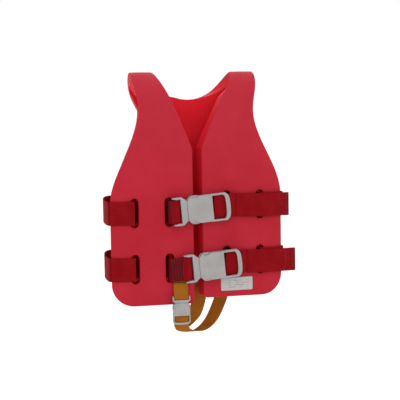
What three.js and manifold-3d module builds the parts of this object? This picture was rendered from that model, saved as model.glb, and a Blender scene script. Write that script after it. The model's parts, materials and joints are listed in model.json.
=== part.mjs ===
// A child's foam swim vest. One die-cut foam body folds over the shoulders into a back and
// two fronts. Two wide belts are woven through slots in the foam and close in front with
// side-release buckles, and a narrower crotch strap joins the lower belt to the back.
//
// Millimetres, +Z up. The front faces -Y, and the wearer's right side is -X. The origin is
// midway between the shoulders, at the inside top of the two folds.
import * as THREE from 'three';
import { mergeVertices } from 'three/addons/utils/BufferGeometryUtils.js';
import Module from 'manifold-3d';

const wasm = await Module();
wasm.setup();

// Driving dimensions

const clearance = 0.3; // between pieces that lie against each other

const foamThickness = 25;
const foldRadius = 19; // inside of the shoulder folds
const chestHalf = 150; // centre to a front's side edge
const backHalf = 133; // the back panel is narrower
const sideTurn = THREE.MathUtils.degToRad(21); // how far the fronts' side edges curl back
const strapInner = 69; // shoulder strap's edges, from the centre
const strapOuter = 107;
const backStrapTaper = 3.5; // how much the straps narrow behind the folds
const armholeHalf = 99.5; // centre to the armhole where the vest is narrowest
const backArmholeHalf = 88;
const armholeNarrowDepth = 66; // depths are measured down from the shoulders' top
const armholeDepth = 219;
const neckDepth = 131; // where the front neckline meets the straight centre edges
const backNeckDepth = 48;
const centreGap = 17; // between the two fronts' outer faces
const centreSlant = 5.5; // how far each centre edge slants into the gap behind
const frontHang = 4.3; // the right front hangs this much lower, and the left front higher
const beltDrop = 14; // armhole's foot to the middle of the upper belt
const beltPitch = 95.5;
const hemMargin = 63; // middle of the lower belt to the hem
const hemOuterRadius = 37;
const hemInnerRadius = 8;

const beltTilt = THREE.MathUtils.degToRad(4.8); // of the closed buckles, left end up
const tailTilt = THREE.MathUtils.degToRad(-1.2); // of the free ends
const tailDrop = 1.2; // how far the free ends start below the wraps they continue
const lowerFasteningDrop = 4; // the lower fastening hangs this much below its slots' middle

const slotWidth = 14.4;
const slotPlay = 10; // a slot's length beyond the belt's width
const innerSlotX = 50; // centre to the middle of the inner slots
const outerSlotInset = 41; // side edge to the middle of the outer slots

const beltWidth = 40;
const beltThickness = 1.6;
const rightSlack = 5; // how far the belts bow out past the side edges
const leftSlack = 4;
const upperTailOverhang = 11; // how far the free ends reach past the side edge
const lowerTailOverhang = 23;

const crotchWidth = 25;
const crotchThickness = 1.3;

const upperMouthX = -20; // where the plugs enter the sockets
const lowerMouthX = -1;
const beltBuckleLift = 7.5; // foam face to the middle of the buckle
const webbingPlay = 0.5; // between the foam and webbing that lies on it
const tailRun = 13; // end of an adjuster's frame to the start of its free end
const tailTouch = 18; // side edge to where a free end last lies along the foam
const hangerPart = 7.5; // lower belt's edge to where the hanger's layers part
const crotchInset = 4.5; // middle of the right front's inner slots to the hanger's edge
const crotchBuckleLift = 6;
const crotchBuckleDrop = 64; // middle of the lower belt to the crotch buckle's mouth
const crotchBuckleScale = 0.62; // of its walls, against a belt buckle's
const crotchBuckleStretch = 0.5; // of its lengths

const labelWidth = 56;
const labelHeight = 23;
const labelThickness = 0.5;
const labelX = 38; // centre to the label's near edge
const labelDrop = 36.5; // middle of the lower belt to the middle of the label

const curveSegments = 6;

// Sizes that follow from them

const faceY = foldRadius + foamThickness; // centre plane to the foam's outer faces
const shoulderTop = foamThickness;
const level = (depth) => shoulderTop - depth;
const upperBeltZ = level(armholeDepth + beltDrop);
const lowerBeltZ = upperBeltZ - beltPitch;
const hemZ = lowerBeltZ - hemMargin;
const outerSlotX = chestHalf - outerSlotInset;
const backOuterSlotX = backHalf - outerSlotInset;
const crotchBuckleX = -innerSlotX + crotchInset + crotchWidth / 2;
const bendStart = armholeHalf + 2.5; // the fronts are flat from the centre to here
const bendRadius = (chestHalf - bendStart) / Math.sin(sideTurn);
const beltLift = webbingPlay + beltThickness / 2; // foam face to the middle of a belt on it
const beltLayer = beltThickness + clearance + 0.1; // between two layers that lie together

// Sizes of a buckle for one webbing, in the buckle's own frame: the plug points along +X
// into the socket, whose mouth is at X = 0; Z is across the webbing and -Y is the side that
// shows. Lengths follow the stretch, walls the scale, and widths the webbing; the room under
// the bow follows the webbing's thickness.
function buckleSizes(webbing, layer, scale, stretch) {
  const slotHalf = webbing / 2 + 0.5;
  const bodyHalf = slotHalf + 2.5 * scale;
  return {
    layer,
    slotHalf, // half the length of each webbing slot
    rail: 3 * scale, // width of the frame beside a webbing slot
    plugBar: [-19 * stretch, -15 * stretch], // the bar that the plug's webbing goes round
    plugBarHalf: 2 * scale, // half its thickness
    plugSlotEnd: -11 * stretch,
    notch: slotHalf - 4 * scale, // half the width left by the notches at the socket's mouth
    flangeFront: 5.5 * scale, // the plug's face outside the socket
    plugHalfThick: 3.5 * scale,
    earReach: 6 * stretch, // how far the ears point past the bar, beside the webbing
    tongueLength: 25 * stretch,
    tongueHalf: 7 * scale,
    armRoot: [bodyHalf - 13.5 * scale, bodyHalf - 9.5 * scale],
    armLength: 23 * stretch,
    pad: [6 * stretch, 20 * stretch], // the pad's start and end along the arm
    padReach: bodyHalf + scale,
    bay: [6.5 * stretch, 3.2 * scale], // half axes of the bays that show the pads
    bodyLength: 43 * stretch,
    bodyHalf,
    halfThick: 6.5 * scale,
    wall: 2.2 * scale,
    cavityLength: 38 * stretch,
    frameHole: [43.5 * stretch, 67 * stretch],
    holeCrown: 4 * stretch, // how far the hole's end and the frame's end bulge
    frameCrown: 7 * stretch,
    gateBar: [47.5 * stretch, 51 * stretch], // the adjuster's bar
    gateBarBack: 3 * scale,
    frameLength: 74 * stretch,
    frameBack: 3.5 * scale,
    bowBack: -(layer + 2 * clearance + scale),
  };
}

const beltBuckle = buckleSizes(beltWidth, beltThickness, 1, 1);
const crotchBuckle = buckleSizes(
  crotchWidth, crotchThickness, crotchBuckleScale, crotchBuckleStretch);

// Materials

const plain = (color, roughness) =>
  new THREE.MeshStandardMaterial({ color, roughness, metalness: 0 });
const foamMaterial = () => plain(0xbe2b3c, 0.85);
const beltMaterial = () => plain(0x8f0a17, 0.8);
const crotchMaterial = () => plain(0xb57a20, 0.8);
const buckleMaterial = () => plain(0xcfcac4, 0.4);
const labelMaterial = () => plain(0xd8d6d4, 0.6);

// Solids

function solidOf(geometry) {
  const bare = new THREE.BufferGeometry();
  bare.setAttribute('position', geometry.getAttribute('position'));
  if (geometry.index) bare.setIndex(geometry.index);
  const merged = mergeVertices(bare, 1e-4);
  return new wasm.Manifold(new wasm.Mesh({
    numProp: 3,
    vertProperties: new Float32Array(merged.getAttribute('position').array),
    triVerts: new Uint32Array(merged.index.array),
  }));
}

function geometryOf(solid) {
  const mesh = solid.getMesh();
  const geometry = new THREE.BufferGeometry();
  geometry.setAttribute('position', new THREE.BufferAttribute(mesh.vertProperties, mesh.numProp));
  geometry.setIndex(new THREE.BufferAttribute(mesh.triVerts, 1));
  return geometry;
}

const join = (...solids) => solids.reduce((whole, next) => whole.add(next));
const cut = (solid, ...tools) => tools.reduce((rest, tool) => rest.subtract(tool), solid);

const extruded = (shape, depth) =>
  new THREE.ExtrudeGeometry(shape, { depth, bevelEnabled: false, curveSegments });

// A shape drawn in x and z, run along Y
const prismY = (shape, low, high) =>
  solidOf(extruded(shape, high - low).rotateX(Math.PI / 2).translate(0, high, 0));

// A shape drawn in x and y, run along Z
const prismZ = (shape, low, high) => solidOf(extruded(shape, high - low).translate(0, 0, low));

// A shape drawn in y and z, run along X
function prismX(shape, low, high) {
  const turn = new THREE.Matrix4().makeBasis(
    new THREE.Vector3(0, 1, 0), new THREE.Vector3(0, 0, 1), new THREE.Vector3(1, 0, 0));
  return solidOf(extruded(shape, high - low).applyMatrix4(turn).translate(low, 0, 0));
}

function block([x0, x1], [y0, y1], [z0, z1]) {
  const box = new THREE.BoxGeometry(x1 - x0, y1 - y0, z1 - z0);
  return solidOf(box.translate((x0 + x1) / 2, (y0 + y1) / 2, (z0 + z1) / 2));
}

const shapeOf = (pairs) => new THREE.Shape(pairs.map(([x, y]) => new THREE.Vector2(x, y)));
const mirrored = (pairs) => pairs.map(([x, y]) => [-x, y]).reverse();
const pairsOf = (points) => points.map((point) => [point.x, point.y]);

function bezier(...pairs) {
  const points = pairs.map(([x, y]) => new THREE.Vector2(x, y));
  return pairsOf(new THREE.CubicBezierCurve(...points).getPoints(curveSegments + 3));
}

function arc(x, y, radius, from, to, steps = curveSegments) {
  return Array.from({ length: steps + 1 }, (_, i) => {
    const angle = from + ((to - from) * i) / steps;
    return [x + radius * Math.cos(angle), y + radius * Math.sin(angle)];
  });
}

// Foam

const overTop = shoulderTop + 5; // the outlines run past the folds, which set the real top

// Outer edge on the +X side, from the strap's top round the armhole to the hem's corner,
// for a panel of a given half width at the armhole and at the chest, with the two handles
// that shape the strap
function outerEdge(narrowHalf, wideHalf, strapHandle, narrowHandle) {
  const fall = armholeDepth - armholeNarrowDepth;
  const ease = fall / 3;
  const toNarrow = bezier(
    [strapOuter, level(0)],
    strapHandle,
    narrowHandle,
    [narrowHalf, level(armholeNarrowDepth)]);
  const toChest = bezier(
    [narrowHalf, level(armholeNarrowDepth)],
    [narrowHalf, level(armholeNarrowDepth + ease)],
    [wideHalf, level(armholeDepth - ease)],
    [wideHalf, level(armholeDepth)]);
  const corner = arc(wideHalf - hemOuterRadius, hemZ + hemOuterRadius, hemOuterRadius,
    0, -Math.PI / 2);
  return [[strapOuter, overTop], ...toNarrow, ...toChest.slice(1), ...corner];
}

// The necklines are drawn by how far their two handles reach, as shares of the way across
// and of the depth
function neckline(startX, depth, [lowAcross, lowDeep], [highAcross, highDeep]) {
  const across = (share) => startX + (strapInner - startX) * share;
  return bezier(
    [startX, level(depth)],
    [across(lowAcross), level(depth * lowDeep)],
    [across(highAcross), level(depth * highDeep)],
    [strapInner, level(0)]);
}

const frontNeckline = () => neckline(centreGap / 2, neckDepth, [0.28, 0.65], [0.62, 0.29]);
const backNeckline = () => neckline(0, backNeckDepth, [0.36, 1], [0.72, 0.79]);

function slotHole(x, z) {
  const reach = (beltWidth + slotPlay - slotWidth) / 2;
  return new THREE.Path([
    ...arc(x, z + reach, slotWidth / 2, 0, Math.PI),
    ...arc(x, z - reach, slotWidth / 2, Math.PI, 2 * Math.PI),
  ].map(([px, pz]) => new THREE.Vector2(px, pz)));
}

function addSlots(shape, sides, outerX, rise = 0) {
  for (const side of sides) {
    for (const x of [innerSlotX, outerX]) {
      for (const z of [upperBeltZ, lowerBeltZ]) {
        shape.holes.push(slotHole(side * x, z + side * rise));
      }
    }
  }
  return shape;
}

// How much higher than its twin's mean a point of a front hangs; nothing near the shoulder
function hang(side, z) {
  const fall = THREE.MathUtils.smoothstep(-z, -level(armholeNarrowDepth), -level(armholeDepth));
  return side * frontHang * fall;
}

function frontOutline(side) {
  const half = centreGap / 2 - centreSlant;
  const outer = outerEdge(armholeHalf, chestHalf, [strapOuter, level(armholeNarrowDepth / 3)],
    [armholeHalf, level((armholeNarrowDepth * 2) / 3)]);
  const innerCorner = arc(half + hemInnerRadius, hemZ + hemInnerRadius, hemInnerRadius,
    -Math.PI / 2, -Math.PI);
  const edge = [
    ...outer, ...innerCorner, [half, level(neckDepth)], ...frontNeckline(),
    [strapInner, overTop],
  ].map(([x, z]) => [x, z + hang(side, z)]);
  return addSlots(shapeOf(side > 0 ? edge : mirrored(edge)), [side], outerSlotX, frontHang);
}

function backOutline() {
  const outer = outerEdge(backArmholeHalf, backHalf,
    [strapOuter - backStrapTaper, level(armholeNarrowDepth * 0.55)],
    [strapOuter - backStrapTaper * 2, level((armholeNarrowDepth * 2) / 3)]);
  const half = [...backNeckline(), [strapInner, overTop], ...outer];
  return addSlots(shapeOf([...half, ...mirrored(half).slice(0, -1)]), [1, -1], backOuterSlotX);
}

// Section through a shoulder strap and the panel below it, in y and z, on the back's side
function foldedSheet(bottom) {
  const outer = arc(0, -foldRadius, faceY, 0, Math.PI / 2, 8);
  const inner = arc(0, -foldRadius, foldRadius, Math.PI / 2, 0, 8);
  return [[faceY, bottom], ...outer, ...inner, [foldRadius, bottom]];
}

// The two halves of the fold meet on the plane y = 0, a clearance apart
const shoulderCut = (span) =>
  block([-span, span], [-clearance / 2, clearance / 2], [-faceY, overTop]);

// Plan of a front's curled side, in x and y
function sidePlan(side) {
  const centreY = bendRadius - faceY;
  const steps = 5;
  const outer = arc(bendStart, centreY, bendRadius, -Math.PI / 2, -Math.PI / 2 + sideTurn, steps);
  const inner = arc(bendStart, centreY, bendRadius - foamThickness,
    -Math.PI / 2 + sideTurn, -Math.PI / 2, steps);
  const edge = [[bendStart - 5, -faceY], ...outer, ...inner, [bendStart - 5, -foldRadius]];
  return shapeOf(side > 0 ? edge : mirrored(edge));
}

// Takes the slant off a front's centre edge: nothing at the back, all of it at the face
function centreWedge(side) {
  const half = centreGap / 2;
  const past = 2;
  const slope = centreSlant / foamThickness;
  const edge = [
    [-past, -faceY - past], [half + slope * past, -faceY - past],
    [half - centreSlant, -foldRadius], [-past, -foldRadius],
  ];
  return prismZ(shapeOf(side > 0 ? edge : mirrored(edge)), hemZ - foamThickness, 0);
}

function frontPanel(side) {
  const low = hemZ - 5 - frontHang;
  const section = shapeOf(foldedSheet(low).map(([y, z]) => [-y, z]).reverse());
  const reach = strapOuter + 5;
  const flatReach = side > 0 ? [0, bendStart] : [-bendStart, 0];
  const flat = prismX(section, ...flatReach);
  const fold = prismX(shapeOf(foldedSheet(-foldRadius - 1).map(([y, z]) => [-y, z]).reverse()),
    ...(side > 0 ? [0, reach] : [-reach, 0]));
  const curled = prismZ(sidePlan(side), low, -foldRadius);
  const outline = prismY(frontOutline(side), -faceY - 5, 5);
  return cut(join(flat, fold, curled).intersect(outline), shoulderCut(reach), centreWedge(side));
}

function backPanel() {
  const sheet = prismX(shapeOf(foldedSheet(hemZ - 5)), -backHalf - 5, backHalf + 5);
  return cut(sheet.intersect(prismY(backOutline(), -5, faceY + 5)), shoulderCut(backHalf));
}

// Webbing

// A line through the corners, each rounded
function rounded(corners, radius, steps = 4) {
  const points = [corners[0]];
  for (let i = 1; i < corners.length - 1; i += 1) {
    const into = corners[i].clone().sub(corners[i - 1]);
    const out = corners[i + 1].clone().sub(corners[i]);
    const turn = into.angleTo(out);
    const reach = Math.min(radius * Math.tan(turn / 2), into.length() * 0.48, out.length() * 0.48);
    const start = corners[i].clone().addScaledVector(into.normalize(), -reach);
    const end = corners[i].clone().addScaledVector(out.normalize(), reach);
    if (turn < 0.2) points.push(corners[i]);
    else points.push(...new THREE.QuadraticBezierCurve3(start, corners[i], end).getPoints(steps));
  }
  points.push(corners[corners.length - 1]);
  return points;
}

// A flat strap along the points; `across` is the direction of its width
function strap(points, across, width, thickness) {
  const positions = [];
  points.forEach((point, i) => {
    const into = point.clone().sub(points[Math.max(i - 1, 0)]).normalize();
    const out = points[Math.min(i + 1, points.length - 1)].clone().sub(point).normalize();
    const along = into.clone().add(out).normalize();
    const mitre = i === 0 || i === points.length - 1 ? 1 : Math.max(along.dot(out), 0.5);
    const face = across.clone().cross(along).normalize().multiplyScalar(thickness / 2 / mitre);
    const half = across.clone().multiplyScalar(width / 2);
    for (const [u, v] of [[1, 1], [1, -1], [-1, -1], [-1, 1]]) {
      const corner = point.clone().addScaledVector(half, u).addScaledVector(face, v);
      positions.push(corner.x, corner.y, corner.z);
    }
  });
  const index = [0, 3, 2, 0, 2, 1];
  for (let i = 0; i < points.length - 1; i += 1) {
    for (let k = 0; k < 4; k += 1) {
      const a = 4 * i + k;
      const b = 4 * i + ((k + 1) % 4);
      index.push(a, b, b + 4, a, b + 4, a + 4);
    }
  }
  const last = 4 * (points.length - 1);
  index.push(last, last + 1, last + 2, last, last + 2, last + 3);
  const geometry = new THREE.BufferGeometry();
  geometry.setAttribute('position', new THREE.Float32BufferAttribute(positions, 3));
  geometry.setIndex(index);
  return geometry;
}

const up = new THREE.Vector3(0, 0, 1);
const sideways = new THREE.Vector3(1, 0, 0);
const belt = (points) => strap(points, up, beltWidth, beltThickness);
const crotchStrap = (points) => strap(points, sideways, crotchWidth, crotchThickness);

// A point at a height above a front's outer face; x is measured along the face's own plan
function onFront(side, x, lift, z) {
  const turn = Math.asin(THREE.MathUtils.clamp((x - bendStart) / bendRadius, 0, 0.95));
  const flat = Math.min(x, bendStart);
  return new THREE.Vector3(
    side * (flat + (bendRadius + lift) * Math.sin(turn)),
    bendRadius - faceY - (bendRadius + lift) * Math.cos(turn), z);
}

const backBehind = faceY + beltLift; // a belt on the back's outer face
const backInside = foldRadius - beltLift; // and one on its inner face
const frontInside = -foamThickness - beltLift; // the same on a front, as a lift
const slotMiddle = -foamThickness / 2; // where belts meet inside an inner slot, as a lift
const pastEdge = 0.2; // the woven stretches end this far past the foam's side edges
const beltEnd = chestHalf + pastEdge;
const backBeltEnd = backHalf + pastEdge;
const foamCorner = 3; // radius of a belt's bends at the slots

function backBelt(z) {
  const half = [
    [backBeltEnd, backBehind], [backOuterSlotX, backBehind], [backOuterSlotX, backInside],
    [innerSlotX, backInside], [innerSlotX, backBehind],
  ];
  const route = [...half, ...mirrored(half)];
  return belt(rounded(route.map(([x, y]) => new THREE.Vector3(x, y, z)), foamCorner));
}

function sideBelt(side, slack, z) {
  const frontStart = beltEnd + clearance;
  const backStart = backBeltEnd + clearance;
  const front = onFront(side, frontStart, beltLift, z + side * frontHang);
  const back = new THREE.Vector3(side * backStart, backBehind, z);
  const reach = (side * (slack + chestHalf - frontStart)) / 0.75;
  const backReach = (side * (slack + chestHalf - backStart)) / 0.75;
  const curl = Math.abs(reach) * Math.tan(sideTurn);
  const curve = new THREE.CubicBezierCurve3(
    front,
    front.clone().add(new THREE.Vector3(reach, curl, 0)),
    back.clone().add(new THREE.Vector3(backReach, 0, 0)),
    back);
  const near = 0.02; // a short straight start and end keep the belt's ends square
  const steps = 16;
  const inner = Array.from({ length: steps - 1 }, (_, i) => curve.getPoint((i + 1) / steps));
  return belt([front, curve.getPoint(near), ...inner, curve.getPoint(1 - near), back]);
}

// From the side edge through the outer slot, behind the front and into the inner slot
function frontBelt(side, z) {
  const step = (beltEnd - outerSlotX) / 4;
  const onFace = [0, 1, 2, 3, 4].map((i) => [beltEnd - i * step, beltLift]);
  const route = [
    ...onFace, [outerSlotX, frontInside], [innerSlotX, frontInside],
    [innerSlotX, slotMiddle - clearance],
  ];
  const height = z + side * frontHang;
  return belt(rounded(route.map(([x, lift]) => onFront(side, x, lift, height)), foamCorner));
}

// The closed fastening is drawn level and tilted as a whole
const plan = (pairs) => pairs.map(([x, lift]) => new THREE.Vector3(x, -faceY - lift, 0));

// Doubled webbing from the right front's inner slot round the plug's bar and back
function plugLoop(mouthX) {
  const bar = beltBuckle.plugBar.map((x) => mouthX + x);
  const gap = clearance + beltThickness / 2;
  const over = beltBuckleLift + beltBuckle.plugBarHalf + gap;
  const under = beltBuckleLift - beltBuckle.plugBarHalf - gap;
  const low = beltLift + crotchThickness + clearance + webbingPlay;
  const spread = bar[0] - 8; // the two layers part here to pass the bar
  const route = [
    [-innerSlotX - beltLayer / 2, slotMiddle], [-innerSlotX - beltLayer / 2, low + beltLayer],
    [spread, low + beltLayer], [bar[0] - 1, over], [bar[1] + gap, over], [bar[1] + gap, under],
    [bar[0] - 1, under], [spread, low], [-innerSlotX + beltLayer / 2, low],
    [-innerSlotX + beltLayer / 2, slotMiddle],
  ];
  return belt(rounded(plan(route), 1.8));
}

const tailStart = (mouthX) => mouthX + beltBuckle.frameLength + tailRun;
const tailLift = beltLift + beltLayer + 0.6;

// From the left front's inner slot round the adjuster's bar and out under the bow
function adjusterWrap(mouthX) {
  const gap = clearance + beltThickness / 2;
  const turnX = mouthX + beltBuckle.gateBar[0] - gap;
  const under = beltBuckleLift - beltBuckle.gateBarBack - gap - 0.2;
  const over = beltBuckleLift + gap;
  const route = [
    [innerSlotX, slotMiddle], [innerSlotX, under], [turnX, under], [turnX, over],
    [mouthX + beltBuckle.frameLength + 1, over],
    [tailStart(mouthX) - 3, tailLift], [tailStart(mouthX), tailLift],
  ];
  return belt(rounded(plan(route), 1.8));
}

// The belt's free end lies along the left front and stands straight past its side edge
function beltTail(mouthX, overhang) {
  const turned = (beltWidth / 2) * Math.sin(beltTilt - tailTilt);
  const start = tailStart(mouthX) + clearance + turned;
  const lastTouch = chestHalf - tailTouch;
  const steps = 5;
  const points = Array.from({ length: steps + 1 }, (_, i) =>
    onFront(1, start + ((lastTouch - start) * i) / steps, tailLift, 0));
  const end = onFront(1, lastTouch, tailLift, 0);
  const heading = end.clone().sub(points[steps - 1]).normalize();
  const reach = (chestHalf + overhang - end.x) / heading.x;
  points.push(end.clone().addScaledVector(heading, reach));
  return belt(points);
}

// Buckles

// A straight-sided outline whose far end bulges, and rounds off towards its corners
function crownedEnd(x0, x1, half, crown) {
  const steps = 12;
  const end = Array.from({ length: steps + 1 }, (_, i) => {
    const t = (2 * i) / steps - 1;
    return [x1 - crown * (0.35 * t ** 2 + 0.65 * t ** 8), half * t];
  });
  return [[x0, half], [x0, -half], ...end];
}

function plug(b) {
  const bothSides = (pairs) => [...pairs, ...pairs.map(([x, z]) => [x, -z]).reverse()];
  const [barStart, barEnd] = b.plugBar;
  const earX = barStart - b.earReach;
  const outline = shapeOf(bothSides([
    [-clearance, b.notch], [b.plugSlotEnd * 0.75, b.slotHalf + b.rail],
    [barEnd, b.slotHalf + b.rail * 1.2], [earX, b.slotHalf + b.rail],
    [earX, b.slotHalf + b.rail * 0.5], [barStart, b.slotHalf + b.rail * 0.1],
    [barStart, b.slotHalf - b.rail * 0.4],
  ]));
  const body = prismY(outline, -b.flangeFront, b.plugHalfThick);
  const slot = block([barEnd, b.plugSlotEnd], [-b.halfThick, b.halfThick],
    [-b.slotHalf, b.slotHalf]);
  const aroundBar = [earX * 2, barEnd + 1];
  const trimFront = block(aroundBar, [-b.halfThick, -b.plugBarHalf], [-b.slotHalf, b.slotHalf]);
  const trimBack = block(aroundBar, [b.plugBarHalf, b.halfThick], [-b.slotHalf, b.slotHalf]);
  const tip = b.tongueHalf * 0.6;
  const tongue = prismY(shapeOf(bothSides([
    [-2, b.tongueHalf], [b.tongueLength * 0.8, b.tongueHalf * 0.85], [b.tongueLength, tip],
  ])), -b.plugHalfThick * 0.7, b.plugHalfThick * 0.7);
  return join(cut(body, slot, trimFront, trimBack), tongue);
}

// A release arm: a springy leg with a pad that shows in the socket's side window
function arm(b, side) {
  const [near, far] = b.armRoot;
  const [padStart, padEnd] = b.pad;
  const edge = [
    [0, near], [b.armLength, near + (far - near) * 0.4], [b.armLength, far],
    [padEnd, b.padReach - 1], [padEnd - 2, b.padReach], [padStart + 2, b.padReach],
    [padStart, b.padReach - 1.5], [padStart, far], [0, far],
  ];
  const shape = shapeOf(edge.map(([x, z]) => [x, side * z]));
  return prismY(shape, -b.plugHalfThick * 0.9, b.plugHalfThick * 0.9);
}

function socket(b) {
  const [padStart, padEnd] = b.pad;
  const bodyOutline = shapeOf([
    [0, b.notch], [0, -b.notch], [padStart, -b.bodyHalf], [b.bodyLength, -b.bodyHalf],
    [b.bodyLength, b.bodyHalf], [padStart, b.bodyHalf],
  ]);
  const body = prismY(bodyOutline, -b.halfThick, b.halfThick);
  const inside = b.halfThick - b.wall;
  const cavity = block([-1, b.cavityLength], [-inside, inside],
    [-b.bodyHalf + b.wall, b.bodyHalf - b.wall]);
  const window = block([-1, padEnd + 2], [-inside, inside],
    [-b.bodyHalf - 5, b.bodyHalf + 5]);
  const [bayLong, bayDeep] = b.bay;
  const bays = [1, -1].map((side) => prismY(
    shapeOf(arc(0, 0, 1, 0, 2 * Math.PI - Math.PI / 8, 16).map(([x, z]) =>
      [(padStart + padEnd) / 2 + x * bayLong, side * b.bodyHalf + z * bayDeep])),
    -b.halfThick - 1, b.halfThick + 1));
  const half = b.slotHalf + b.rail;
  const outline = shapeOf(crownedEnd(b.bodyLength - 1, b.frameLength, half, b.frameCrown));
  const hole = shapeOf(crownedEnd(...b.frameHole, b.slotHalf, b.holeCrown));
  const frame = cut(
    prismY(outline, -b.halfThick, b.frameBack),
    prismY(hole, -b.halfThick - 1, b.frameBack + 1),
    block([b.gateBar[1], b.frameLength + 5], [b.bowBack, b.frameBack + 5],
      [-b.slotHalf, b.slotHalf]));
  const gate = block(b.gateBar, [0, b.gateBarBack], [-b.slotHalf - 1, b.slotHalf + 1]);
  return join(cut(body, cavity, window, ...bays), frame, gate);
}

// Crotch strap

const fastened = (x) => lowerBeltZ - lowerFasteningDrop + x * Math.tan(beltTilt);
const crotchY = (lift) => -faceY - lift;
const crotchMouthZ = lowerBeltZ - crotchBuckleDrop;
const crotchGap = clearance + crotchThickness / 2;
const rise = (pairs, x) => pairs.map(([lift, z]) => new THREE.Vector3(x, crotchY(lift), z));

// Sewn behind the lower belt, it goes down round the crotch buckle's plug and back up
function crotchHanger() {
  const b = crotchBuckle;
  const behind = webbingPlay + crotchThickness / 2;
  const outside = behind + crotchThickness + 0.7;
  const back = crotchBuckleLift - b.plugBarHalf - crotchGap;
  const front = crotchBuckleLift + b.plugBarHalf + crotchGap;
  const barTop = crotchMouthZ - b.plugBar[0];
  const turnZ = crotchMouthZ - b.plugBar[1] - crotchGap;
  const beltFoot = fastened(crotchBuckleX - crotchWidth / 2) - beltWidth / 2;
  const partZ = beltFoot - hangerPart;
  return crotchStrap(rounded(rise([
    [behind, lowerBeltZ + 8], [behind, partZ], [back, barTop + 1], [back, turnZ],
    [front, turnZ], [front, barTop], [outside, partZ], [outside, beltFoot - 2],
  ], crotchBuckleX), 1.5));
}

const crotchBarZ = crotchMouthZ - crotchBuckle.gateBar[0];
const crotchFootZ = crotchMouthZ - crotchBuckle.frameLength;
const overBar = crotchBuckleLift + crotchGap;
const underBar = crotchBuckleLift - crotchBuckle.gateBarBack - crotchGap;

// The free run from the adjuster down and back under the wearer to the back's lower belt
const crotchRun = new THREE.CatmullRomCurve3([
  [crotchBuckleX, crotchY(overBar), crotchFootZ - 2],
  [crotchBuckleX + 2, crotchY(overBar - 1), crotchFootZ - 8],
  [crotchBuckleX + 14, crotchY(-2), crotchFootZ - 14],
  [4, -24, crotchFootZ - 17],
  [28, -2, crotchFootZ - 6],
  [46, backInside - 6, hemZ - 18],
  [56, backInside - beltLayer, hemZ + 8],
  [70, backInside - beltLayer, lowerBeltZ],
  [72, backInside - beltLayer, lowerBeltZ + 15],
].map((point) => new THREE.Vector3(...point)));
const runJoint = 0.33; // the front and rear pieces meet here, as a share of the run

function along(curve, from, to, steps) {
  return Array.from({ length: steps + 1 }, (_, i) =>
    curve.getPointAt(from + ((to - from) * i) / steps));
}

function crotchFront() {
  const turnZ = crotchBarZ + crotchGap;
  const threaded = rounded(rise([
    [underBar, crotchFootZ - 1], [underBar, turnZ], [overBar, turnZ], [overBar, crotchFootZ - 2],
  ], crotchBuckleX), 1.4);
  return crotchStrap([...threaded.slice(0, -1), ...along(crotchRun, 0, runJoint, 10)]);
}

function crotchRear() {
  const gap = clearance / crotchRun.getLength();
  return crotchStrap(along(crotchRun, runJoint + gap, 1, 18));
}

// The crotch strap's free end turns up behind the buckle, inside the fronts
function crotchTail() {
  const inside = -foldRadius + 5;
  const curve = new THREE.CatmullRomCurve3([
    [crotchBuckleX, crotchY(underBar), crotchFootZ - 1 - 3 * clearance],
    [crotchBuckleX + 1, crotchY(underBar - 2.5), crotchFootZ - 5],
    [crotchBuckleX + 8, crotchY(-10), crotchFootZ - 5],
    [-6, crotchY(-24), crotchFootZ + 8],
    [5, inside, hemZ - 3],
    [9, inside, hemZ + 38],
  ].map((point) => new THREE.Vector3(...point)));
  return crotchStrap(along(curve, 0, 1, 16));
}

function label() {
  const z = lowerBeltZ - labelDrop;
  const shape = shapeOf([
    [labelX, z - labelHeight / 2], [labelX + labelWidth, z - labelHeight / 2],
    [labelX + labelWidth, z + labelHeight / 2], [labelX, z + labelHeight / 2],
  ]);
  return prismY(shape, -faceY - clearance - labelThickness, -faceY - clearance);
}

// Assembly

const group = new THREE.Group();

function add(parent, name, shape, material) {
  const geometry = shape.isBufferGeometry ? shape : geometryOf(shape);
  geometry.computeVertexNormals();
  const mesh = new THREE.Mesh(geometry, material);
  mesh.name = name;
  parent.add(mesh);
}

function addBuckle(parent, name, sizes, armNames) {
  const buckle = new THREE.Group();
  add(buckle, `${name}_socket`, socket(sizes), buckleMaterial());
  add(buckle, `${name}_plug`, plug(sizes), buckleMaterial());
  add(buckle, `${name}_${armNames[0]}`, arm(sizes, 1), buckleMaterial());
  add(buckle, `${name}_${armNames[1]}`, arm(sizes, -1), buckleMaterial());
  parent.add(buckle);
  return buckle;
}

function addTilted(z, tilt) {
  const tilted = new THREE.Group();
  tilted.position.z = z;
  tilted.rotation.y = -tilt;
  group.add(tilted);
  return tilted;
}

function addBelt(name, z, drop, mouthX, overhang) {
  const woven = {
    back: backBelt(z),
    side_right: sideBelt(-1, rightSlack, z),
    side_left: sideBelt(1, leftSlack, z),
    front_right: frontBelt(-1, z),
    front_left: frontBelt(1, z),
  };
  const fastened = {
    plug_loop: plugLoop(mouthX),
    adjuster_wrap: adjusterWrap(mouthX),
  };
  const fastening = addTilted(z - drop, beltTilt);
  // The free end turns level past the adjuster, in line with the end of the wrap
  const turnZ = tailStart(mouthX) * (Math.sin(beltTilt) - Math.sin(tailTilt));
  const freeEnd = addTilted(z - drop - tailDrop + turnZ, tailTilt);
  const free = { tail: beltTail(mouthX, overhang) };
  for (const [parent, pieces] of [[group, woven], [fastening, fastened], [freeEnd, free]]) {
    for (const [piece, shape] of Object.entries(pieces)) {
      add(parent, `${name}_belt_${piece}`, shape, beltMaterial());
    }
  }
  const buckle = addBuckle(fastening, `${name}_buckle`, beltBuckle, ['top_arm', 'bottom_arm']);
  buckle.position.set(mouthX, -faceY - beltBuckleLift, 0);
}

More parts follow.
